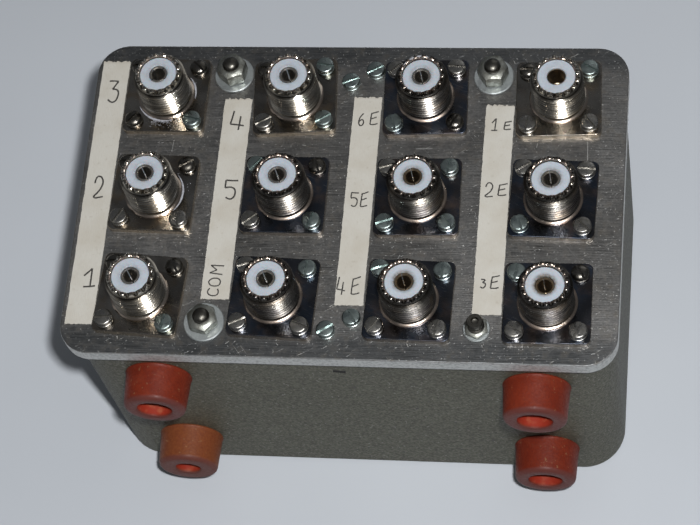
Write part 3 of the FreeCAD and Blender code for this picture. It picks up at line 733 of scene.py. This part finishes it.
shoulder, rim, bore = SHOULDER_RADIUS, RIM_RADIUS, BORE_RADIUS
tooth_foot = RIM_TOP - TOOTH_HEIGHT
barrel_outline = [
    (bore, FLANGE_THICK - 0.3), (shoulder, FLANGE_THICK - 0.3), (shoulder, FLANGE_THICK + 0.3),
    (shoulder - 0.4, FLANGE_THICK + 0.6), (CREST, FLANGE_THICK + 0.7)]
barrel_outline += thread(THREAD_START, THREAD_END, THREAD_PITCH, CREST, ROOT)[2:]
barrel_outline += [
    (NECK_RADIUS, THREAD_END + 0.05), (NECK_RADIUS, tooth_foot - 0.3), (rim, tooth_foot - 0.1),
    (rim, RIM_TOP - 0.35), (rim - 0.12, RIM_TOP - 0.1), (rim - 0.35, RIM_TOP),
    (bore + 0.45, RIM_TOP), (bore + 0.22, RIM_TOP - 0.12), (bore + 0.15, RIM_TOP - 0.35),
    (bore + 0.12, tooth_foot - 0.3), (bore, tooth_foot - 0.5)]
barrel = turned(barrel_outline, TEETH * STEPS_PER_TOOTH)
grime_and_shade = barrel.verts.layers.float.new("grime_and_shade")
rubbed_and_sheen = barrel.verts.layers.float.new("rubbed_and_sheen")
for point in barrel.verts:
    radius = math.hypot(point.co.x, point.co.y)
    # The shoulder is painted lighter: partly rubbed through the plating, partly a painted highlight.
    point[rubbed_and_sheen] = 1.0 if radius > CREST + 0.1 else 0.0
    # Painted shade: the thread roots are darkened, the more the deeper the point lies, with some grime.
    if THREAD_START <= point.co.z <= THREAD_END + 0.1:
        point[grime_and_shade] = max(0.0, (CREST - radius) / (CREST - ROOT))
    # On the teeth: painted shade in the gaps between them.
    if point.co.z > tooth_foot:
        phase = (TEETH * math.atan2(point.co.y, point.co.x) / math.tau) % 1 - 0.5
        rise = math.sqrt(max(0.0, 1 - (phase / TOOTH_HALF) ** 2))
        # The inner band of the rim is painted lighter: a painted reflection of the insulator.
        if radius < (RIM_RADIUS + BORE_RADIUS) / 2:
            rise = 1 - INNER_NOTCH * (1 - rise)
            point[rubbed_and_sheen] = 0.8
        point.co.z = tooth_foot + (point.co.z - tooth_foot) * rise
        point[grime_and_shade] = 0.3 * (1 - rise)

for name, column, row, turned_by in SOCKETS:
    dark = name in TARNISHED
    spot, turn = socket_spot(column, row), math.radians(turned_by)
    label = f"socket_{name.lower()}"
    finished(f"{label}_flange", moved(flange.copy(), spot, turn),
             dark_nickel if dark else bright_nickel, ["socket_shells"])
    finished(f"{label}_barrel", moved(barrel.copy(), spot, turn + column),
             dark_barrel if dark else bright_barrel, ["socket_shells"])
flange.free()
barrel.free()


# White beads: a dried white crust that has crept out on the near left of the foot of socket 3,
# with loose flakes of it on the flange, and on the rim of 6E. The pale beads, with a few
# flakes, on the right of the foot of sockets 3 and 2 are painted highlights along the shoulder.
BEAD_RADIUS = 9.05
BEAD_THICK = 0.3
# Beads: socket, radius and height, first and last angle in degrees, and flakes.
WHITE_BEADS = [
    ("3", BEAD_RADIUS, FLANGE_THICK, -152, -72, 110),
    # This bead and the next are painted highlights: pale beads along the shoulder's right side, in place
    # of its highlight line.
    ("3", BEAD_RADIUS, FLANGE_THICK, -8, 42, 4),
    ("2", BEAD_RADIUS, FLANGE_THICK, -42, 40, 6),
    ("6E", BORE_RADIUS + 0.7, RIM_TOP - 0.4, 70, 150, 0),
]


crumbs = random.Random(5)
spots = {name: socket_spot(column, row) for name, column, row, _ in SOCKETS}
bloom_and_painted_light = []
for name, radius, up, first, last, flakes in WHITE_BEADS:
    bead = bmesh.new()
    ops.create_circle(bead, segments=8, radius=BEAD_THICK)
    moved(bead, (radius, 0, up), math.pi / 2, "X")
    ops.spin(bead, geom=bead.verts[:] + bead.edges[:], cent=(0, 0, 0), axis=(0, 0, 1),
             angle=math.radians(last - first), steps=40)
    ops.holes_fill(bead, edges=bead.edges[:], sides=8)
    for point in bead.verts:
        turn = math.degrees(math.atan2(point.co.y, point.co.x))
        share = max(0.0, min(1.0, turn / (last - first)))
        swell = (0.25 + 0.85 * math.sin(math.pi * share)) * crumbs.uniform(0.85, 1.1)
        centre = Vector((point.co.x, point.co.y, 0)).normalized() * radius
        centre.z = up
        point.co = centre + (point.co - centre) * swell
    ops.recalc_face_normals(bead, faces=bead.faces)
    bloom_and_painted_light.append(moved(bead, spots[name], math.radians(first)))
    for _ in range(flakes):
        turn = math.radians(crumbs.uniform((first + last) / 2, last + 12))
        reach = BEAD_RADIUS + 0.2 + crumbs.expovariate(0.9)
        flake = bmesh.new()
        ops.create_circle(flake, cap_ends=True, segments=6, radius=crumbs.uniform(0.05, 0.15))
        raised(flake, 0.05)
        place = spots[name] + Vector((reach * math.cos(turn), reach * math.sin(turn), FLANGE_THICK))
        if max(abs(place.x - spots[name].x), abs(place.y - spots[name].y)) < FLANGE_SIDE / 2 - 0.5:
            bloom_and_painted_light.append(moved(flake, place))
        else:
            flake.free()
# Pale colour for the beads: white bloom, and painted highlights on the shoulders of 3 and 2.
white_bloom_and_highlight = clouded("white_bloom_and_highlight", (0.4, 0.41, 0.45), (0.24, 0.24, 0.26), (0.7,), 0.05, roughness=0.8)
finished("white_beads_and_highlights", joined(bloom_and_painted_light), white_bloom_and_highlight)


# Insulators and contacts: a white turned PTFE bush in each barrel, and in its middle a
# slit tube of silvered brass that grips the pin of the plug.
INSULATOR_END = -11.5
CONTACT_RADIUS = 2.7
CONTACT_BORE = 2.0
CONTACT_FLOOR = 4.6
SLIT_WIDTH = 0.32

# How far the insulator and then the contact lie below the rim's teeth, where it isn't usual.
USUAL_SUNK = (0.75, 0.85)
SUNK = {"1E": (0.55, 0.95), "2E": (1.0, 1.15), "3E": (1.25, 1.9), "6E": (1.0, 1.15), "4E": (0.9, 1.1)}
SOILED = {"3E": 1.0, "4E": 0.9, "5E": 0.7, "2E": 0.65, "6E": 0.5, "1E": 0.1}
BRASS_CONTACTS = ("1E", "3E", "4E", "5E")
WIDE_BORE = 2.45
WIDE_FLOOR = 6.8

# How a contact's slit is turned on most sockets, how much less in each column and row, and
# the turns of each slit where it isn't so.
SLIT_TURN = 0.34
SLIT_TURN_STEP = (0.12, 0.05)
SLITS = {"1E": (), "3": (0.9, 2.5)}


def ptfe():
    skin = Skin("white_ptfe", subsurface_weight=0.15, subsurface_scale=0.002)
    smudge = skin.patches(3.0, 0.45, 0.75, 4.0)
    cloud = skin.patches(0.6, 0.3, 0.8)
    soot = skin.patches(0.9, 0.3, 0.6, 4.0)
    dirt = skin.sums("MULTIPLY", skin.carried("soil"), ramp(skin.tree, soot, 0.0, 1.0, 0.35, 1.0))
    skin.coloured(
        (0.38, 0.42, 0.47),
        (cloud, 1, (0.44, 0.48, 0.53)),
        (smudge, 0.45, (0.33, 0.34, 0.34)),
        (dirt, 1, (0.1, 0.08, 0.055)))
    skin.roughened(smudge, 0.38, 0.55)
    skin.bumped(cloud, 0.01)
    return skin.material


def insulator(top, soiled):
    hole, outer, end = CONTACT_RADIUS + 0.1, BORE_RADIUS - 0.02, INSULATOR_END
    bush = turned([(hole, end + 0.4), (outer - 0.3, end), (outer, end + 0.3), (outer, top - 0.2),
                   (outer - 0.2, top), (hole + 1.2, top), (hole + 0.6, top), (hole + 0.3, top),
                   (hole, top - 0.25)], 56)
    soil = bush.verts.layers.float.new("soil")
    for point in bush.verts:
        reach = math.hypot(point.co.x, point.co.y) - hole
        point[soil] = soiled * max(0.0, 1.0 - reach / 1.2)
    return bush


def contact(top, hole, floor, slits):
    """A tube with a drilled end and slits at given angles from the frame's Y."""
    bar, end = CONTACT_RADIUS, INSULATOR_END + 0.4
    lip = min(0.3, (bar - hole) / 2)
    tube = turned([(0, end), (bar, end), (bar, top - 0.1), (bar - 0.1, top), (hole + lip, top),
                   (hole, top - lip), (hole, floor), (0, floor - hole * 0.6)], 40)
    for angle in slits:
        tube = cut(tube, moved(block((SLIT_WIDTH, bar * 3, 14)), (0, 0, top), angle))
    return tube


insulator_finish = ptfe()
silvered = plated_steel("silvered_contact", (0.44, 0.42, 0.39), (0.2, 0.18, 0.15), 0.3, 0.5)
brass = plated_steel("brass_contact", (0.32, 0.25, 0.165), (0.13, 0.1, 0.07), 0.3, 0.5)
for name, column, row, turned_by in SOCKETS:
    spot = socket_spot(column, row)
    insulator_sunk, contact_sunk = SUNK.get(name, USUAL_SUNK)
    slit_turn = SLIT_TURN - SLIT_TURN_STEP[0] * column - SLIT_TURN_STEP[1] * row
    slits = SLITS.get(name, (slit_turn,))
    bore = (CONTACT_BORE, CONTACT_FLOOR) if slits else (WIDE_BORE, WIDE_FLOOR)
    bush = insulator(RIM_TOP - insulator_sunk, SOILED.get(name, 0.3))
    finished(f"socket_{name.lower()}_insulator", moved(bush, spot), insulator_finish,
             ["socket_inserts"])
    finished(f"socket_{name.lower()}_contact",
             moved(contact(RIM_TOP - contact_sunk, *bore, slits), spot),
             brass if name in BRASS_CONTACTS else silvered, ["socket_inserts"])


# Flange screws: four slotted screws through each flange. They have come from more than
# one box, so bluish zinc cheese heads sit beside plain steel ones and dark round heads.
SCREW_SPACING = 18.26
HEAD_RADIUS = 2.7
SLOT_WIDTH = 0.75
SLOT_FLOOR = 0.6
WASHER = 0.75


def screw_head(outline):
    """A slotted head on a spring washer. The outline starts at the head's lower edge."""
    neck = HEAD_RADIUS - 0.25
    washer = [(0, 0), (neck, 0), (HEAD_RADIUS, 0.12), (HEAD_RADIUS, WASHER - 0.2), (neck, WASHER - 0.08)]
    head = turned(washer + [(radius, WASHER + up) for radius, up in outline], 32)
    blade = block((HEAD_RADIUS * 3, SLOT_WIDTH, 4))
    return cut(head, moved(blade, (0, 0, WASHER + SLOT_FLOOR + 2)))


edge = HEAD_RADIUS
cheese_head = screw_head([(edge - 0.1, 0), (edge, 0.1), (edge, 1.15), (edge - 0.15, 1.4),
                          (edge - 0.5, 1.55), (0, 1.65)])
round_head = screw_head([(edge - 0.1, 0), (edge, 0.12), (edge, 0.4), (edge * 0.94, 0.85),
                         (edge * 0.75, 1.3), (edge * 0.42, 1.58), (0, 1.65)])
blue_zinc = plated_steel("blue_zinc", (0.36, 0.42, 0.41), (0.22, 0.26, 0.25), 0.25, 0.45)
grey_steel = plated_steel("grey_steel", (0.36, 0.35, 0.33), (0.16, 0.155, 0.14), 0.24, 0.45)
browned_steel = plated_steel("browned_steel", (0.17, 0.16, 0.145), (0.07, 0.065, 0.055), 0.2, 0.4)
HEADS = {
    "zinc": (cheese_head, blue_zinc),
    "steel": (cheese_head, grey_steel),
    "round": (round_head, browned_steel),
}

# Heads by their first letters, and each slot's turn in degrees. Both run from the near left
# corner, anticlockwise.
SCREWS = {
    "1": ("szrr", (5, 80, 120, 0)), "2": ("ssrr", (60, 95, 30, 0)),
    "3": ("rzrr", (50, -12, 140, 0)), "COM": ("sszs", (25, 160, 85, 20)),
    "5": ("szrz", (40, 70, 110, 50)), "4": ("szzr", (30, 32, -8, 0)),
    "4E": ("sszz", (55, 75, 90, 18)), "5E": ("zzzs", (20, 130, 80, 18)),
    "6E": ("zrss", (100, 60, -6, 45)), "3E": ("ssrz", (-30, 65, 120, 80)),
    "2E": ("zsss", (110, 140, -4, 35)), "1E": ("sszr", (80, -50, -30, 0)),
}
CORNERS = [(-1, -1), (1, -1), (1, 1), (-1, 1)]
for name, column, row, turned_by in SOCKETS:
    spot, turn = socket_spot(column, row), Matrix.Rotation(math.radians(turned_by), 4, "Z")
    kinds, slot_turns = SCREWS[name]
    for kind, (blank, finish) in HEADS.items():
        heads = []
        for letter, slot_turn, (across, along) in zip(kinds, slot_turns, CORNERS):
            if kind.startswith(letter):
                place = spot + turn @ Vector((across, along, 0)) * (SCREW_SPACING / 2)
                place.z += FLANGE_THICK
                heads.append(moved(blank.copy(), place, math.radians(slot_turn)))
        if heads:
            finished(f"socket_{name.lower()}_{kind}_screws", joined(heads), finish)


# Bracket screws: two pairs of small slotted screws through the plate's ends, which hold
# the brackets of the switch underneath.
BRACKET_SCREWS = [(-2.2, -43.2, 0.6), (5.05, -39.2, 2.2), (-1.8, 39.0, 0.4), (5.5, 43.0, 0.5)]
places = [((across, along, plate_high.z), turn) for across, along, turn in BRACKET_SCREWS]
finished("bracket_screws", copied(cheese_head.copy(), places), blue_zinc)
round_head.free()


# Label strips: hand torn paper stuck beside each column, with the socket numbers
# written on it in soft dark pencil.
PAPER_THICK = 0.2
TEAR = 0.75
TEAR_STEP = 0.45
LINE_WIDTH = 0.42
BOLD_WIDTH = 0.54
LINE_HEIGHT = 0.06


def paper():
    skin = Skin("aged_paper", roughness=0.85)
    stain = skin.patches(9.0, 0.4, 0.75, 4.0)
    fibre = skin.streaks(1.6, 0.2, 0.35, 0.7, 1.5)
    dirt = skin.patches(1.2, 0.62, 0.8, 4.0)
    ends = skin.sums("MULTIPLY", skin.carried("torn"), ramp(skin.tree, dirt, 0.0, 1.0, 0.35, 0.9))
    skin.coloured(
        (0.5, 0.485, 0.44),
        (stain, 1, (0.44, 0.412, 0.355)),
        (fibre, 0.2, (0.4, 0.36, 0.3)),
        (dirt, 0.4, (0.3, 0.26, 0.2)),
        (ends, 1, (0.27, 0.23, 0.18)))
    skin.bumped(fibre, 0.03)
    return skin.material


paper_finish = paper()
tears = random.Random(3)
for name in ("antenna_label_left", "antenna_label_right", "equipment_label_left",
             "equipment_label_right"):
    low, high = map(in_mm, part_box(name))
    across_steps = int((high.x - low.x) / TEAR_STEP)
    strip = sheet((low.x, low.y, plate_high.z), high, across_steps, 64)
    torn = strip.verts.layers.float.new("torn")
    for point in strip.verts:
        if high.y - point.co.y < 0.01:
            point[torn] = 1.0
            point.co.y -= tears.uniform(0, TEAR)
        if point.co.y - low.y < 0.01:
            point.co.y += tears.uniform(0, TEAR) / 3
        if min(point.co.x - low.x, high.x - point.co.x) < 0.01:
            point.co.x += tears.uniform(-0.08, 0.08)
    finished(f"{name}_paper", raised(strip, PAPER_THICK), paper_finish, [name])

# Pencil strokes, each a curve through points given as percentages across and up the character.
STROKES = {
    "1": ["10 62, 40 80, 68 100", "68 100, 66 50, 62 3", "12 3, 50 0, 100 6"],
    "2": ["5 72, 10 102, 60 108, 95 80, 70 42, 30 20, 0 6", "0 6, 20 -2, 60 2, 100 5"],
    "3": ["10 100, 50 102, 90 98", "90 98, 70 80, 42 60", "42 60, 80 62, 105 40, 85 2, 40 -8, 8 10"],
    "4": ["20 100, 12 65, 0 31", "0 31, 50 28, 100 22", "72 72, 68 35, 62 0"],
    "5": ["100 97, 50 96, 6 100", "6 100, 2 80, 4 58", "4 58, 50 66, 88 45, 82 8, 45 -8, 14 7"],
    "6": ["75 100, 30 80, 2 35, 20 -5, 75 -2, 90 35, 50 55, 12 30"],
    "E": ["16 92, 8 50, 6 2", "12 88, 50 92, 98 104", "10 46, 45 50, 80 60", "6 2, 45 -2, 98 10"],
    "C": ["95 85, 60 108, 5 85, 0 20, 50 -10, 95 12"],
    "O": ["50 100, 0 90, 2 10, 50 -4, 98 10, 100 85, 50 100"],
    "M": ["6 0, 8 50, 10 100", "10 100, 30 75, 48 50", "48 50, 70 78, 92 100", "92 100, 96 50, 100 0"],
}
# Written characters: stroke set, middle on the plate, width, height and turn.
LETTERS = [
    ("3", (-76.2, 35.6), 3.5, 7.2, 0.04), ("2", (-76.2, 2.2), 3.0, 6.9, 0.04),
    ("1", (-75.1, -27.9), 4.1, 6.0, 0.05), ("4", (-35.9, 25.8), 4.2, 6.6, 0.02),
    ("5", (-35.3, 2.3), 3.9, 6.2, 0.02), ("C", (-37.0, -31.6), 2.5, 3.2, 1.52),
    ("O", (-36.9, -28.4), 2.6, 3.5, 1.52), ("M", (-36.6, -24.4), 3.0, 3.9, 1.48),
    ("6", (2.3, 26.6), 1.9, 4.0, 0.0), ("E", (6.1, 27.0), 2.5, 4.4, -0.01),
    ("5", (2.5, -0.4), 2.4, 4.5, 0.0), ("E", (5.4, -0.4), 2.2, 4.8, -0.01),
    ("4", (1.0, -28.7), 2.5, 5.7, 0.0), ("E", (5.3, -28.6), 2.6, 5.5, 0.0),
    ("1", (42.6, 25.3), 2.0, 4.2, -0.03), ("E", (46.6, 25.0), 2.3, 2.8, -0.03),
    ("2", (42.4, 3.3), 2.4, 4.4, -0.03), ("E", (46.3, 3.5), 2.7, 3.9, -0.03),
    ("3", (42.4, -27.0), 1.6, 2.6, -0.03), ("E", (45.9, -26.5), 2.6, 4.1, -0.03),
]
BOLD_FROM = 6.0


def pencil_line(points, wide):
    """One stroke as a smooth curve with a flattened round section."""
    curve = bpy.data.curves.new("stroke", "CURVE")
    curve.dimensions = "3D"
    curve.bevel_depth = wide / 2
    curve.bevel_resolution = 1
    curve.use_fill_caps = True
    curve.resolution_u = 8
    line = curve.splines.new("NURBS")
    line.points.add(len(points) - 1)
    for point, (across, up) in zip(line.points, points):
        point.co = (across, up, 0, 1)
    line.order_u = 3
    line.use_endpoint_u = True
    holder = bpy.data.objects.new("stroke", curve)
    mesh = bpy.data.meshes.new_from_object(holder)
    stroke = bmesh.new()
    stroke.from_mesh(mesh)
    bpy.data.objects.remove(holder)
    bpy.data.curves.remove(curve)
    bpy.data.meshes.remove(mesh)
    ops.scale(stroke, vec=(1, 1, LINE_HEIGHT / wide), verts=stroke.verts)
    return stroke


written = []
for letter, middle, wide, tall, turn in LETTERS:
    strokes = []
    for stroke in STROKES[letter]:
        points = [map(int, point.split()) for point in stroke.split(",")]
        drawn = [((across / 100 - 0.5) * wide, (up / 100 - 0.5) * tall) for across, up in points]
        strokes.append(pencil_line(drawn, BOLD_WIDTH if tall >= BOLD_FROM else LINE_WIDTH))
    written.append(moved(joined(strokes), (*middle, plate_high.z + PAPER_THICK), turn))
pencil = clouded("soft_pencil", (0.025, 0.024, 0.022), (0.08, 0.073, 0.066), (0.25, 0.4, 0.7, 2.0), 0.01,
                 roughness=0.6)
finished("pencilled_numbers", joined(written), pencil)


# Feet: turned red rubber buffers, a little wider at the wall, each held by a screw at
# the bottom of its recess. Their outer faces are grey, one foot is older and faded, and
# the inside of each recess is painted a lighter orange red as painted light.
FOOT_WIDE = 10.1
FOOT_NARROW = 9.4
FOOT_RECESS = 5.2
SMALL_RECESS = 3.9
RECESS_DEPTH = 7.0
FOOT_INSET = 9.8
NEWER_AGE = 0.15
OLDER_AGE = 0.85


def red_rubber():
    skin = Skin("red_rubber")
    cloud = skin.patches(6.0, detail=4.0)
    fine = skin.patches(0.8, 0.35, 0.75, 4.0)
    bloom_and_painted_light = skin.patches(3.0, 0.5, 0.85, 5.0)
    tallow = skin.patches(1.3, 0.66, 0.74, 2.0)
    # Painted light: the recess is coloured a lighter orange red than the body, as if lit inside.
    lit = between(skin.tree, bloom_and_painted_light, (0.27, 0.028, 0.014), (0.4, 0.12, 0.06))
    skin.coloured(
        (0.125, 0.009, 0.004),
        (cloud, 1, (0.17, 0.016, 0.006)),
        (skin.carried("faded"), 1, (0.19, 0.06, 0.02)),
        (fine, 0.45, (0.075, 0.01, 0.006)),
        (bloom_and_painted_light, 0.25, (0.17, 0.045, 0.025)),
        (tallow, 0.35, (0.32, 0.2, 0.1)),
        (skin.carried("outer_face"), 0.8, (0.1, 0.032, 0.027)),
        (skin.carried("recess"), 1, lit))
    skin.shader.inputs["Specular IOR Level"].default_value = 0.2
    skin.roughened(fine, 0.42, 0.62)
    skin.bumped(fine, 0.04)
    return skin.material


def foot(recess, length, age):
    bottom, face_edge = length - RECESS_DEPTH, FOOT_NARROW
    form = turned([
        (0, bottom), (recess - 0.4, bottom), (recess, bottom + 0.4), (recess, length - 1.2),
        (recess + 0.15, length - 0.35), (recess + 0.7, length), (face_edge - 1.6, length),
        (face_edge - 0.8, length - 0.2), (face_edge - 0.2, length - 0.8), (face_edge, length - 1.6),
        (FOOT_WIDE - 0.25, 1.2), (FOOT_WIDE, 0.4), (FOOT_WIDE - 0.2, 0), (0, 0)], 64)
    face = form.verts.layers.float.new("outer_face")
    deep = form.verts.layers.float.new("recess")
    faded = form.verts.layers.float.new("faded")
    for point in form.verts:
        point[faded] = age
        radius = math.hypot(point.co.x, point.co.y)
        inside = radius < recess + 0.1 and 0.1 < point.co.z < length - 0.3
        point[deep] = 1.0 if inside else 0.0
        point[face] = 1.0 if point.co.z > length - 0.9 and not inside else 0.0
    return form


feet_low, feet_high = map(in_mm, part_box("feet"))
foot_length = box_low.y - feet_low.y
feet = []
foot_screws = []
for across in (feet_low.x + FOOT_INSET, feet_high.x - FOOT_INSET):
    for up in (feet_low.z + FOOT_INSET, feet_high.z - FOOT_INSET):
        older = across < 0 and up < (feet_low.z + feet_high.z) / 2
        form = foot(SMALL_RECESS if older else FOOT_RECESS, foot_length, OLDER_AGE if older else NEWER_AGE)
        feet.append(moved(form, (across, box_low.y, up), math.pi / 2, "X"))
        screw = moved(cheese_head.copy(), (0, 0, foot_length - RECESS_DEPTH - 0.1), up)
        foot_screws.append(moved(screw, (across, box_low.y, up), math.pi / 2, "X"))
cheese_head.free()
finished("rubber_feet", joined(feet), red_rubber(), ["feet"])
finished("foot_screws", joined(foot_screws), dark_steel)


# Knob: a black moulded knob on the quarter inch spindle, with a round skirt, a bar grip
# that tapers to a pointer, and a white line let into the pointer.
KNOB_EDGE = 1.1
GRIP_HALF = 4.75
GRIP_NOSE = 14.0
GRIP_TAIL = 13.2
SKIRT_HEIGHT = 4.0
SKIRT_RADIUS = 15.4
LINE_PROUD = 0.06
FIRST_WAY = math.radians(195)


def phenolic():
    skin = Skin("black_phenolic", coat_weight=0.3)
    haze = skin.patches(5.0, 0.4, 0.75, 4.0)
    skin.coloured((0.012, 0.012, 0.013), (haze, 1, (0.03, 0.028, 0.026)))
    skin.roughened(haze, 0.25, 0.42)
    skin.bumped(skin.patches(0.4, 0.4, 0.7), 0.01)
    return skin.material


knob_low, knob_high = map(in_mm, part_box("knob"))
knob_height = knob_high.y - knob_low.y
edge, rise = SKIRT_RADIUS, SKIRT_HEIGHT
skirt = turned([(3.2, 0), (edge - 0.4, 0), (edge, 0.4), (edge, rise - 1.2), (edge - 0.5, rise - 0.35),
                (edge - 1.4, rise), (3.2, rise)], 72)
grip = bmesh.new()
nose = [(-1.5, GRIP_NOSE), (-GRIP_HALF, 3), (-GRIP_HALF, -9), (-2.6, -GRIP_TAIL),
        (2.6, -GRIP_TAIL), (GRIP_HALF, -9), (GRIP_HALF, 3), (1.5, GRIP_NOSE)]
grip.faces.new([grip.verts.new((across, up, 0)) for across, up in nose])
raised(grip, knob_height - LINE_PROUD)
upright = [edge for edge in grip.edges if abs(edge.verts[0].co.z - edge.verts[1].co.z) > 1]
softened(grip, upright, 1.2, 4)
softened(grip, edges_at(grip, knob_height - LINE_PROUD), KNOB_EDGE, 4)
pointer = slab((-0.45, 3.5, knob_height - 0.3), (0.45, GRIP_NOSE - 2.2, knob_height), 0.2, 3)

facing = Matrix(((-1, 0, 0), (0, 0, 1), (0, 1, 0))).to_4x4()
to_first_way = Matrix.Rotation(-FIRST_WAY, 4, "Z")
knob_frame = Matrix.Translation((axis_place.x, knob_low.y, axis_place.z)) @ facing @ to_first_way
for form in (skirt, grip, pointer):
    form.transform(knob_frame)
finished("knob_skirt_and_grip", joined([skirt, grip]), phenolic(), ["knob"], "selector")
line_paint = clouded("white_line_paint", (0.72, 0.71, 0.66), (0.4, 0.37, 0.3), (0.8, 0.45, 0.8, 4.0),
                     roughness=0.6)
finished("knob_pointer_line", pointer, line_paint, (), "selector")


# Works of the switch, closed in under the plate: brackets, index plate, click wheel,
# wafer, clips, rotor and the straps to the sockets keep their made shapes.
def laminate():
    skin = Skin("brown_laminate")
    weave = skin.streaks(3.0, 0.25, 0.35, 0.65)
    cloud = skin.patches(4.0)
    skin.coloured((0.2, 0.1, 0.045), (cloud, 1, (0.28, 0.15, 0.07)), (weave, 0.4, (0.12, 0.06, 0.03)))
    skin.roughened(weave, 0.35, 0.55)
    skin.bumped(weave, 0.01)
    return skin.material


bright_steel = plated_steel("plated_sheet", (0.5, 0.5, 0.48), (0.36, 0.35, 0.32))
turned_brass = plated_steel("turned_brass", (0.62, 0.46, 0.2), (0.4, 0.28, 0.12))
silver = plated_steel("silver_plate", (0.75, 0.73, 0.68), (0.5, 0.47, 0.4), 0.18, 0.35)
copper = plated_steel("tinned_copper", (0.65, 0.36, 0.22), (0.45, 0.27, 0.18))
WORKS = {
    bright_steel: ("front_bracket", "rear_bracket", "detent_leaf", "spindle", "star_wheel", "stop_sector"),
    turned_brass: ("index_plate", "bush_nut", "pillars"),
    silver: ("way_clips", "common_clip", "rotor_blade"),
    copper: ("socket_straps",),
    laminate(): ("wafer", "rotor_hub"),
}
for material, names in WORKS.items():
    for name in names:
        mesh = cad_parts[name].data
        mesh.materials.clear()
        mesh.materials.append(material)


# Bench and light: a pale blue grey bench top, a soft lamp a little to the right of the
# camera, and dim fill from the sides and back.
BENCH_HALF = 4.0
BENCH_GAP = 0.2
ROOM_COLOUR = (0.43, 0.45, 0.48, 1)
ROOM_STRENGTH = 0.2

bench_mesh = as_mesh(sheet((-BENCH_HALF, -BENCH_HALF, 0), (BENCH_HALF, BENCH_HALF, 0)), "bench")
bench_mesh.materials.append(clouded("bench_top", (0.5, 0.53, 0.57), (0.54, 0.57, 0.61),
                                    (120.0, 0.3, 0.8), roughness=0.9))
bench_piece = placed("bench", bench_mesh)
bench_piece.location.z = cad_low.z - BENCH_GAP * MM
bench_piece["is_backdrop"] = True

# Lamps: name, place in millimetres, side in millimetres, power in watts.
LAMPS = [
    ("key_lamp", (142, -274, 706), 24, 5.15),
    ("left_fill", (-900, -300, 600), 700, 0.25),
    ("back_fill", (300, 900, 700), 700, 0.8),
]
for name, place, side, power in LAMPS:
    light = bpy.data.lights.new(name, "AREA")
    light.size = side * MM
    light.energy = power
    lamp = placed(name, light)
    lamp.location = Vector(place) * MM
    aim = Vector((0, 0, plate_high.z)) * MM - lamp.location
    lamp.rotation_euler = aim.to_track_quat("-Z", "Y").to_euler()

world = bpy.data.worlds.new("room")
world.use_nodes = True
room = world.node_tree.nodes["Background"]
room.inputs["Color"].default_value = ROOM_COLOUR
room.inputs["Strength"].default_value = ROOM_STRENGTH
bpy.context.scene.world = world
bpy.context.scene.view_settings.view_transform = "Standard"

low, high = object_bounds()
sizes = {"cad": [list(cad_low), list(cad_high)], "visual": [list(low), list(high)]}
